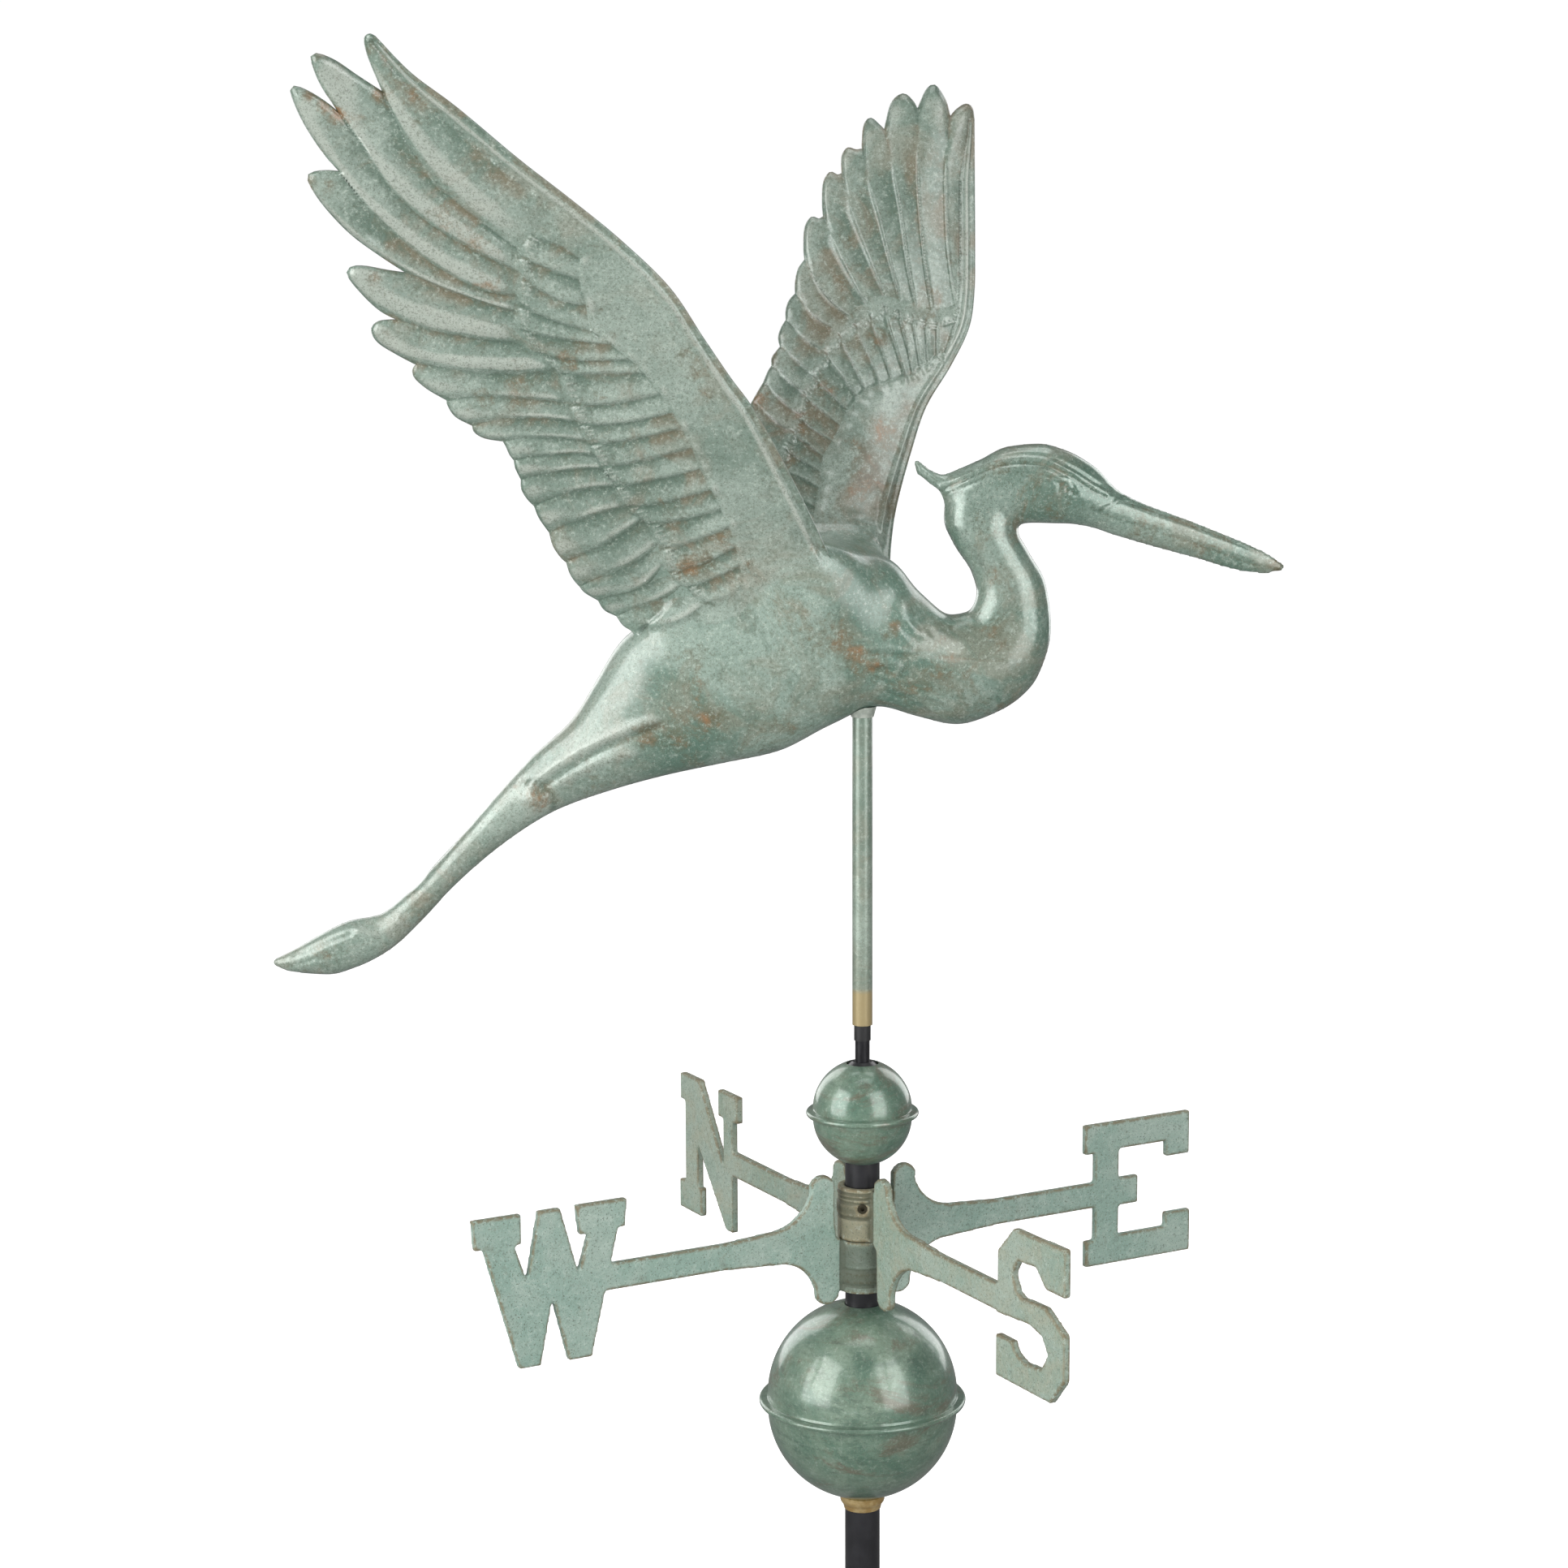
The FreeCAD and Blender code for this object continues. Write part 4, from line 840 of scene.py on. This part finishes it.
def laid_on_body(face, sign, side, flat, from_root, body_tree):
    """Near the root a face of the wing leaves the body's own skin little by little."""
    free = FREE_GAP * ease(from_root, 25, 90)
    sunk = SUNK * (1 - ease(from_root, 10, 40))
    for k in np.nonzero(flat[:, 1] < ON_BODY_Z)[0]:
        start = Vector((flat[k, 0] * MM, side * (face[k] + sign * 30) * MM, flat[k, 1] * MM))
        hit, normal = body_tree.ray_cast(start, Vector((0, -side * sign, 0)), 0.05)[:2]
        if hit is None or normal.y * side * sign < 0:
            continue
        skin = hit.y / MM * side
        cover = sign * (skin - face[k])
        if cover < 0:
            gap = min(-cover, free[k]) + (1 - ease(cover, -7.0, -3.0)) * max(-cover - free[k], 0)
            gap -= sunk[k] * (1 - ease(-cover, 1, 5))
        else:
            gap = -0.3 * ease(cover, 0.3, 8.0) - cover * ease(cover, 8.0, 14.0)
        face[k] = skin + sign * gap
    return face


def two_sided(name, flat, faces, outer, inner, side):
    """Closed mesh of a wing's two faces and a rounded rim; also returns the rim's vertex numbers."""
    n = len(flat)
    rim = one_sided_edges(faces)
    order, outward = {}, np.zeros((n, 2))
    for a, b in rim:
        d = flat[b] - flat[a]
        push = np.array([d[1], -d[0]]) / max(np.linalg.norm(d), 1e-9)
        for v in (a, b):
            order.setdefault(v, 2 * n + len(order))
            outward[v] += push
    mids = list(order)
    push = outward[mids] / np.maximum(np.linalg.norm(outward[mids], axis=1), 1e-9)[:, None]
    edge = flat[mids] + RIM_BULGE * push
    verts = np.vstack([np.column_stack([flat[:, 0], side * outer, flat[:, 1]]),
                       np.column_stack([flat[:, 0], side * inner, flat[:, 1]]),
                       np.column_stack([edge[:, 0], side * (outer + inner)[mids] / 2, edge[:, 1]])])
    all_faces = [tuple(f) for f in faces] + [tuple(i + n for i in reversed(f)) for f in faces]
    for a, b in rim:
        all_faces += [(b, a, order[a], order[b]), (order[b], order[a], a + n, b + n)]
    if side > 0:
        all_faces = [tuple(reversed(f)) for f in all_faces]
    return make_object(name, verts * MM, all_faces), mids


def make_wing(name, wing, body_tree):
    side = wing["side"]
    quilt = Quilt()
    leading = smooth_curve(wing["leading"])
    root = smooth_curve(wing["root"])
    inner_lead = leading_band(quilt, leading, wing["band"])
    # Outline: up the leading edge, over the feather tips, down the trailing edge and along the root.
    outline = [at_shares(leading, np.linspace(0, 1, int(lengths(leading)[-1] / 2.0)))[:-1]]
    outline += flight_feathers(quilt, wing, inner_lead)
    covert_feathers(quilt, wing)
    shoulder_roll(quilt, wing)
    free_edge = np.vstack(outline + [root[:1]])
    outline.append(at_shares(root, np.linspace(0, 1, int(lengths(root)[-1] / 1.6)))[:-1])
    outline = np.vstack(outline)

    # One triangle mesh through the outline, the quilt's points and an even filling.
    points, raised, tone = quilt.arrays()
    filler = lattice(outline, np.vstack([outline, points]), FILL_GAP)
    raised = np.concatenate([np.zeros(len(outline)), raised, np.zeros(len(filler))])
    # The outline points are darker: painted shade of the rounded rim.
    tone = np.concatenate([np.full(len(outline), 0.3), tone, np.zeros(len(filler))])
    ring = [(i, (i + 1) % len(outline)) for i in range(len(outline))]
    places = [Vector(p) for p in np.vstack([outline, points, filler])]
    verts2, _, faces, origin, _, _ = delaunay_2d_cdt(places, ring, [], 1, 0.12)
    source = np.array([o[0] if o else -1 for o in origin])
    flat = np.array([tuple(v) for v in verts2])
    raised = np.where(source >= 0, raised[source], 0.0)
    tone = np.where(source >= 0, tone[source], 0.0)

    from_edge, from_root = distance(flat, free_edge), distance(flat, root)
    middle, lens = wing_sheet(wing, flat)
    half = EDGE_HALF + lens * (1 - np.exp(-from_edge / 7.0))
    lift = raised * ease(from_edge, 0.0, 2.0)
    outer, inner = (laid_on_body(middle + sign * half, sign, side, flat, from_root, body_tree) + sign * lift
                    for sign in (1, -1))
    obj, mids = two_sided(name, flat, faces, outer, np.minimum(inner, outer - LEAST_THICK), side)

    # Masks: dark grooves, pale ridges, brown stains, and the drier patina away from the root; the groove mask
    # also carries painted shade along the free edges and rim and in the broad dark spots.
    upper_part = ease(flat[:, 1], 722, 745)
    # Painted shade: darker within a few millimetres of the free edges above the body.
    tone = np.clip(tone * ease(from_root, 2, 12) + 0.5 * upper_part * (1 - ease(from_edge, 0.0, 2.6)), -1, 1)
    # Dark spots: oxidised tips, and painted shade in the broad ones.
    for x, z, radius, depth in wing["dark"]:
        tone += (depth - tone) * spot(flat, (x, z), radius)
    # The rim between the two faces gets painted shade as well.
    tone = np.concatenate([tone, tone, 0.7 * upper_part[mids]])
    brown = stains(flat, wing["stains"])
    dry = ease(from_root, 4, 50)
    set_mask(obj, "groove", np.clip(tone, 0, 1))
    set_mask(obj, "ridge", np.clip(-tone, 0, 1))
    set_mask(obj, "stain", np.concatenate([brown, brown, np.zeros(len(mids))]))
    set_mask(obj, "dry", np.concatenate([dry, dry, dry[mids]]))
    return obj


body = make_body()
body_tree = BVHTree.FromPolygons([v.co.copy() for v in body.data.vertices],
                                 [tuple(p.vertices) for p in body.data.polygons])
right_wing = make_wing("right_wing", RIGHT, body_tree)
left_wing = make_wing("left_wing", LEFT, body_tree)
for obj, nodes in ((body, ("body_right_half", "body_left_half")),
                   (right_wing, ("right_wing_outer_skin", "right_wing_inner_skin")),
                   (left_wing, ("left_wing_outer_skin", "left_wing_inner_skin"))):
    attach(obj, "heron")
    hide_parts(*nodes)


# --- Castings ---
CASTING_VOXEL = 0.0008
HUB_WALL = (12.0, 12.8, 14.0, 14.6)  # the hub's outside fades in and out between these radii, mm
HUB_ROOT = 14.7  # radius where the arms meet the hub
BAND_RISE, LINE_DEPTH, LINE_WIDTH = 0.45, 0.5, 0.55  # turned bands and the lines beside them, mm


def make_casting(node, bands, tint):
    """The CAD casting with softened edges; bands are heights, tint is arm stain, hub stain and painted shade
    over the hub.
    """
    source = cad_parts[node].data
    shell = ([tuple(v.co) for v in source.vertices], [tuple(p.vertices) for p in source.polygons])
    obj = remeshed(node.replace("directional", "cast"), [shell], CASTING_VOXEL)
    mesh = obj.data
    relax(mesh, 3, keep_size=False)
    relax(mesh, 2)
    pairs = edge_pairs(mesh)
    co = read(mesh, "co")
    # Bands and turned lines round the hub.
    radius = np.hypot(co[:, 0], co[:, 1]) / MM
    on_hub = between(radius, *HUB_WALL)
    z = co[:, 2] / MM
    swell, lines = np.zeros(len(co)), np.zeros(len(co))
    for z_low, z_high in bands:
        swell += BAND_RISE * between(z, z_low, z_low + 0.8, z_high - 0.8, z_high)
        for edge in (z_low - 0.4, z_high + 0.4):
            mark = np.exp(-((z - edge) / LINE_WIDTH) ** 2)
            swell -= LINE_DEPTH * mark
            lines = np.maximum(lines, mark)
    co[:, :2] *= (1 + (swell * on_hub / np.maximum(radius, 1)))[:, None]
    lines *= on_hub
    set_coordinates(mesh, co)
    nrm = read(mesh, "normal")
    curve = ((neighbour_mean(co, pairs) - co) * nrm).sum(1) / CASTING_VOXEL
    for _ in range(2):
        curve = neighbour_mean(curve[:, None], pairs)[:, 0]
    radius = np.hypot(co[:, 0], co[:, 1]) / MM
    # The hub carries its own stain, and painted shade that is deepest in a ring where the arms meet it.
    hub = 1 - ease(radius, 14.0, 15.5)
    crevice_shade = 0.9 * np.exp(-((radius - HUB_ROOT) / 1.0) ** 2)
    set_mask(obj, "ridge", np.clip(-curve * 9, 0, 1))
    set_mask(obj, "groove", np.clip(curve * 5 + lines + crevice_shade + tint[2] * hub, 0, 1))
    set_mask(obj, "stain", tint[0] + (tint[1] - tint[0]) * hub)
    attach(obj, "compass")
    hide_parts(node)
    return obj


cast_ew = make_casting("directional_east_west", [(334.4, 341.9)], (0.0, 0.25, 0.42))
cast_ns = make_casting("directional_north_south", [(371.8, 379.2), (382.6, 384.2)], (0.42, 1.0, 0.2))


# --- Materials ---
class Shader:
    """A material whose colour, roughness and bump come from nodes."""

    def __init__(self, name):
        self.material = bpy.data.materials.new(name)
        self.material.use_nodes = True
        self.tree = self.material.node_tree
        self.surface = self.tree.nodes["Principled BSDF"]
        self.coords = self.tree.nodes.new("ShaderNodeTexCoord").outputs["Object"]

    def put(self, socket, value):
        """Links another node's output to a socket, or sets the socket's own value."""
        if isinstance(value, bpy.types.NodeSocket):
            self.tree.links.new(value, socket)
        elif value is not None:
            socket.default_value = (*value, 1.0) if socket.type == "RGBA" else value

    def node(self, kind, inputs=None, **settings):
        made = self.tree.nodes.new(kind)
        for key, value in settings.items():
            setattr(made, key, value)
        for key, value in (inputs or {}).items():
            self.put(made.inputs[key], value)
        return made

    def scaled(self, scale):
        return self.node("ShaderNodeMapping", {"Vector": self.coords, "Scale": scale}).outputs["Vector"]

    def noise(self, scale, detail=4.0, rough=0.55, vector=None, distort=0.0):
        return self.node("ShaderNodeTexNoise", {
            "Vector": vector or self.coords, "Scale": scale, "Detail": detail, "Roughness": rough,
            "Distortion": distort}).outputs["Fac"]

    def ramp(self, value, low, high):
        """0 at low, 1 at high."""
        return self.node("ShaderNodeMapRange", {"Value": value, "From Min": low, "From Max": high},
                         interpolation_type="SMOOTHSTEP").outputs["Result"]

    def math(self, operation, a, b):
        return self.node("ShaderNodeMath", {0: a, 1: b}, operation=operation).outputs[0]

    def times(self, a, b):
        return self.math("MULTIPLY", a, b)

    def plus(self, a, b):
        return self.math("ADD", a, b)

    def mask(self, name):
        return self.node("ShaderNodeAttribute", attribute_name=name).outputs["Fac"]

    def mix(self, factor, a, b):
        return self.node("ShaderNodeMix", {"Factor": factor, 6: a, 7: b}, data_type="RGBA").outputs[2]

    def over(self, colour, patch, value, low, high, amount):
        """The colour with a patch over it where the value goes from low to high."""
        return self.mix(self.times(self.ramp(value, low, high), amount), colour, patch)

    def bump(self, height, strength, depth, normal=None):
        return self.node("ShaderNodeBump", {"Height": height, "Strength": strength, "Distance": depth,
                                            "Normal": normal}).outputs["Normal"]

    def finish(self, colour, roughness, normal=None, metallic=0.0, coat=0.0, coat_rough=0.2, specular=0.5):
        for name, value in {"Base Color": colour, "Roughness": roughness, "Normal": normal,
                            "Metallic": metallic, "Coat Weight": coat, "Coat IOR": 1.65,
                            "Coat Roughness": coat_rough, "Specular IOR Level": specular}.items():
            self.put(self.surface.inputs[name], value)
        return self.material


def srgb(r, g, b):
    """Linear colour from the familiar 0-255 values."""
    return tuple(((c / 255 + 0.055) / 1.055) ** 2.4 if c > 10 else c / 255 / 12.92 for c in (r, g, b))


def grain(s, colour, amount=0.5):
    """Fine dark and light speckle over a colour."""
    dust = s.noise(1150, 2, 0.5)
    grit = s.noise(480, 5, 0.8)
    colour = s.over(colour, srgb(84, 96, 80), grit, 0.52, 0.66, amount)
    colour = s.over(colour, srgb(188, 198, 186), grit, 0.48, 0.34, amount * 0.9)
    return s.over(colour, srgb(76, 82, 68), dust, 0.55, 0.66, amount * 0.9)


def verdigris(name, with_masks=True):
    """Green copper patina; the masks add worn ridges with painted light on the legs, dirty grooves with
    painted shade on the wings, and bare brown places.
    """
    s = Shader(name)
    dry = s.mask("dry")
    broad = s.noise(11, 4, 0.6, distort=0.8)
    clouds = s.noise(27, 6, 0.66, distort=0.6)
    blots = s.noise(62, 6, 0.7, distort=0.5)
    fine = s.noise(240, 5, 0.75)
    colour = s.mix(s.ramp(broad, 0.40, 0.62), srgb(90, 118, 104), srgb(135, 154, 142))
    colour = s.over(colour, srgb(124, 128, 112), clouds, 0.48, 0.64, 0.75)
    colour = s.over(colour, srgb(82, 104, 90), blots, 0.52, 0.66, 0.62)
    colour = s.over(colour, srgb(162, 177, 166), blots, 0.46, 0.34, 0.42)
    colour = s.over(colour, srgb(112, 97, 72), s.noise(19, 8, 0.78, distort=1.0), 0.545, 0.68, 0.62)
    colour = s.mix(s.times(dry, 0.28), colour, srgb(164, 170, 160))
    if with_masks:
        uneven = s.math("SUBTRACT", blots, 0.5)
        grit = s.math("SUBTRACT", fine, 0.5)
        # The ridge mask is wear, and on the legs painted light.
        worn = s.ramp(s.plus(s.mask("ridge"), uneven), 0.05, 0.95)
        colour = s.mix(s.times(worn, 0.66), colour, srgb(174, 180, 170))
        # The groove mask is dirt in hollows, and on the wings painted shade as well.
        in_groove = s.ramp(s.plus(s.mask("groove"), s.plus(uneven, grit)), 0.12, 1.0)
        dirt_and_shade = s.mix(s.ramp(clouds, 0.46, 0.60), srgb(82, 104, 90), srgb(110, 98, 74))
        colour = s.mix(s.times(in_groove, 0.76), colour, dirt_and_shade)
        brown = s.ramp(s.plus(s.mask("stain"), s.plus(uneven, s.times(grit, 1.6))), 0.15, 1.0)
        copper_tone = s.mix(s.ramp(blots, 0.46, 0.66), srgb(98, 86, 60), srgb(146, 106, 68))
        colour = s.mix(s.times(brown, 0.82), colour, copper_tone)
    colour = grain(s, colour, 0.5)
    rough = s.plus(0.38, s.times(s.ramp(clouds, 0.4, 0.7), 0.14))
    normal = s.bump(s.noise(480, 5, 0.8), 0.12, 0.0004)
    normal = s.bump(s.noise(26, 2, 0.5), 0.16, 0.0012, normal)
    return s, colour, rough, normal


def heron_copper():
    """Lightly lacquered patina: satin on the wings and flanks, bright on the neck, head and legs."""
    s, colour, rough, normal = verdigris("heron_copper")
    gloss = s.mask("gloss")
    rough = s.math("SUBTRACT", rough, s.times(gloss, 0.17))
    metallic = s.plus(0.12, s.times(gloss, 0.08))
    return s.finish(colour, rough, normal, metallic=metallic, coat=0.6, coat_rough=0.17, specular=0.55)


# Heights, in metres, where the pivot tube's golden wear starts and is full.
WORN_TOP, WORN_FULL = 0.4965, 0.4925


def tube_copper():
    s, colour, _, normal = verdigris("tube_copper", with_masks=False)
    height = s.node("ShaderNodeSeparateXYZ", {0: s.coords}).outputs["Z"]
    # The tube is worn golden at its lower end.
    colour = s.mix(0.25, colour, srgb(176, 182, 168))
    colour = s.over(colour, srgb(168, 148, 104), height, WORN_TOP, WORN_FULL, 0.85)
    return s.finish(colour, 0.34, normal, metallic=0.3, coat=0.4, coat_rough=0.15, specular=0.55)


def cast_patina():
    s = Shader("cast_patina")
    clouds = s.noise(26, 6, 0.65, distort=0.5)
    grit = s.noise(420, 5, 0.75)
    pits = s.noise(1100, 3, 0.6)
    chalk = s.noise(75, 7, 0.75, distort=0.6)
    colour = s.mix(s.ramp(clouds, 0.38, 0.62), srgb(138, 163, 151), srgb(156, 174, 163))
    colour = s.over(colour, srgb(176, 194, 184), chalk, 0.52, 0.66, 0.5)
    colour = s.over(colour, srgb(122, 128, 112), chalk, 0.44, 0.32, 0.4)
    beige = s.ramp(s.plus(s.mask("stain"), s.times(s.math("SUBTRACT", chalk, 0.5), 1.4)), 0.05, 1.0)
    colour = s.mix(s.times(beige, 0.85), colour, srgb(152, 144, 118))
    colour = s.over(colour, srgb(100, 114, 102), grit, 0.54, 0.66, 0.45)
    colour = s.over(colour, srgb(190, 204, 196), grit, 0.46, 0.34, 0.4)
    colour = s.over(colour, srgb(84, 92, 78), pits, 0.58, 0.66, 0.7)
    worn = s.times(s.ramp(s.mask("ridge"), 0.12, 0.7), s.ramp(grit, 0.34, 0.54))
    colour = s.mix(s.times(worn, 0.85), colour, srgb(118, 106, 80))
    # Dark in hollows and turned lines, and painted shade on the hub.
    colour = s.over(colour, srgb(70, 72, 56), s.mask("groove"), 0.1, 0.7, 0.8)
    normal = s.bump(pits, 0.5, 0.0005)
    normal = s.bump(grit, 0.45, 0.0008, normal)
    return s.finish(colour, s.plus(0.46, s.times(clouds, 0.2)), normal, metallic=0.1, specular=0.45)


copper = heron_copper()
tube = tube_copper()
casting = cast_patina()


def give(obj, material):
    obj.data.materials.clear()
    obj.data.materials.append(material)


for obj in (body, right_wing, left_wing):
    give(obj, copper)
for obj in (cast_ew, cast_ns):
    give(obj, casting)


def globe_patina():
    s = Shader("globe_patina")
    streaks = s.noise(20, 8, 0.78, vector=s.scaled((0.8, 0.8, 2.2)), distort=0.8)
    hair = s.noise(120, 5, 0.75, vector=s.scaled((0.6, 0.6, 2.2)))
    blur = s.noise(16, 6, 0.7, distort=0.8)
    colour = s.mix(s.ramp(blur, 0.38, 0.62), srgb(88, 118, 101), srgb(124, 145, 127))
    colour = s.over(colour, srgb(106, 100, 84), streaks, 0.50, 0.62, 0.8)
    colour = s.over(colour, srgb(70, 96, 82), streaks, 0.47, 0.36, 0.6)
    colour = s.over(colour, srgb(74, 86, 76), hair, 0.52, 0.68, 0.45)
    colour = s.over(colour, srgb(150, 168, 156), hair, 0.45, 0.30, 0.3)
    colour = grain(s, colour, 0.3)
    normal = s.bump(hair, 0.05, 0.0004)
    return s.finish(colour, s.plus(0.22, s.times(blur, 0.18)), normal, metallic=0.2, coat=0.6,
                    coat_rough=0.12, specular=0.6)


def plain(name, colour, second, rough, metallic=0.0, scale=120, coat=0.0, bump=0.08):
    """A material of two near colours in soft clouds, with a fine bump."""
    s = Shader(name)
    cloud = s.noise(scale, 4, 0.6)
    shade = s.mix(s.ramp(cloud, 0.35, 0.65), colour, second)
    normal = s.bump(s.noise(scale * 9, 3, 0.6), bump, 0.0003)
    return s.finish(shade, s.plus(rough, s.times(cloud, 0.1)), normal, metallic=metallic, coat=coat)


globe = globe_patina()
black = plain("black_coat", (0.012, 0.012, 0.014), (0.020, 0.020, 0.023), 0.32, scale=60, coat=0.15)
black_steel = plain("black_steel", (0.010, 0.010, 0.012), (0.022, 0.022, 0.026), 0.30, metallic=0.3)
nylon = plain("black_nylon", (0.014, 0.014, 0.015), (0.02, 0.02, 0.021), 0.45)
brass = plain("polished_brass", srgb(206, 172, 112), srgb(232, 206, 150), 0.24, metallic=0.75, scale=200,
              bump=0.03)
screw = plain("screw_steel", (0.10, 0.09, 0.06), (0.16, 0.14, 0.10), 0.4, metallic=0.9)
steel = plain("bearing_steel", (0.6, 0.6, 0.61), (0.66, 0.66, 0.67), 0.12, metallic=1.0)
solder = plain("solder", srgb(160, 168, 158), srgb(190, 196, 186), 0.42, metallic=0.4, scale=300, bump=0.3)

for material, nodes in (
        (black, ("mast_tube", "mast_top_plug")), (black_steel, ("spindle",)), (steel, ("bearing_ball",)),
        (brass, ("brass_collar", "bearing_cap")), (screw, ("collar_set_screw", "directional_set_screws")),
        (globe, ("large_globe_lower", "large_globe_upper", "small_globe_lower", "small_globe_upper")),
        (tube, ("pivot_tube",)), (nylon, ("lower_sleeve",)), (solder, ("belly_solder_ring",))):
    for node in nodes:
        give(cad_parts[node], material)


# --- Studio ---
# Name, place, aim, width, height, power. The floor bounce is light thrown up from the pale floor in front; it
# is too broad to show as a highlight.
SOFTBOXES = [
    ("left_softbox", (-1.45, -0.9, 1.05), (0, 0, 0.62), 1.3, 1.8, 29),
    ("right_softbox", (1.05, -1.2, 1.05), (0, 0, 0.62), 1.0, 1.8, 18),
    ("top_softbox", (0.0, 0.1, 2.5), (0, 0, 0.6), 1.4, 1.2, 10),
    ("back_left_softbox", (-1.3, 1.7, 1.2), (0, 0, 0.62), 1.0, 2.0, 14),
    ("back_right_softbox", (1.3, 1.6, 1.2), (0, 0, 0.62), 1.0, 2.0, 14),
    ("floor_bounce", (-0.5, -1.6, 0.15), (-0.15, 0, 0.85), 1.8, 0.9, 18.5),
]


def studio():
    scene = bpy.context.scene
    scene.view_settings.view_transform = "Standard"
    world = bpy.data.worlds.new("studio_world")
    scene.world = world
    world.use_nodes = True
    background = world.node_tree.nodes["Background"]
    background.inputs["Color"].default_value = (1.0, 1.0, 1.0, 1.0)
    background.inputs["Strength"].default_value = 0.20

    # A pale floor and a white dome round it; they light nothing, so the softboxes shape the copper.
    white = {"Emission Color": (1.0, 1.0, 1.0), "Emission Strength": 1.02}
    paper, glow = Shader("paper"), Shader("glow")
    for shader, inputs in ((paper, {"Base Color": (0.3, 0.3, 0.3), "Roughness": 0.9}),
                           (glow, {"Base Color": (0.0, 0.0, 0.0), "Specular IOR Level": 0.0})):
        for name, value in {**inputs, **white}.items():
            shader.put(shader.surface.inputs[name], value)
    sides, reach = 48, 11.0
    circle = [(math.cos(k * math.pi / 24), math.sin(k * math.pi / 24)) for k in range(sides)]
    floor = make_object("floor", [(0.0, 0.0, 0.0)] + [(reach * x, reach * y, 0.0) for x, y in circle],
                        [(0, k + 1, (k + 1) % sides + 1) for k in range(sides)])
    rings = [(reach * math.cos(e * math.pi / 24), reach * math.sin(e * math.pi / 24) - 0.01)
             for e in range(12)]
    verts = [(r * x, r * y, z) for r, z in rings for x, y in circle] + [(0.0, 0.0, reach)]
    faces = tube_faces(len(rings), sides)[:-2]
    faces += [(11 * sides + k, 11 * sides + (k + 1) % sides, 12 * sides) for k in range(sides)]
    dome = make_object("dome", verts, faces)
    for obj, shader in ((floor, paper), (dome, glow)):
        give(obj, shader.material)
        obj.visible_diffuse = obj.visible_glossy = obj.visible_transmission = obj.visible_shadow = False

    for name, place, aim, width, height, power in SOFTBOXES:
        light = bpy.data.lights.new(name, "AREA")
        light.shape = "RECTANGLE"
        light.size, light.size_y, light.energy = width, height, power
        lamp = bpy.data.objects.new(name, light)
        lamp.location = place
        lamp.rotation_euler = (Vector(aim) - Vector(place)).to_track_quat("-Z", "Y").to_euler()
        lamp.visible_camera = False
        scene.collection.objects.link(lamp)
    bpy.data.objects["floor_bounce"].visible_glossy = False

    camera_data = bpy.data.cameras.new("camera")
    camera_data.sensor_width = 36.0
    camera_data.lens = 80.37
    camera_data.shift_x = -0.0500
    camera = bpy.data.objects.new("camera", camera_data)
    camera.location = (0.0, -1.82767, 0.9091)
    camera.rotation_euler = (math.radians(90 - 9.42), 0.0, 0.0)
    scene.collection.objects.link(camera)
    scene.camera = camera


studio()
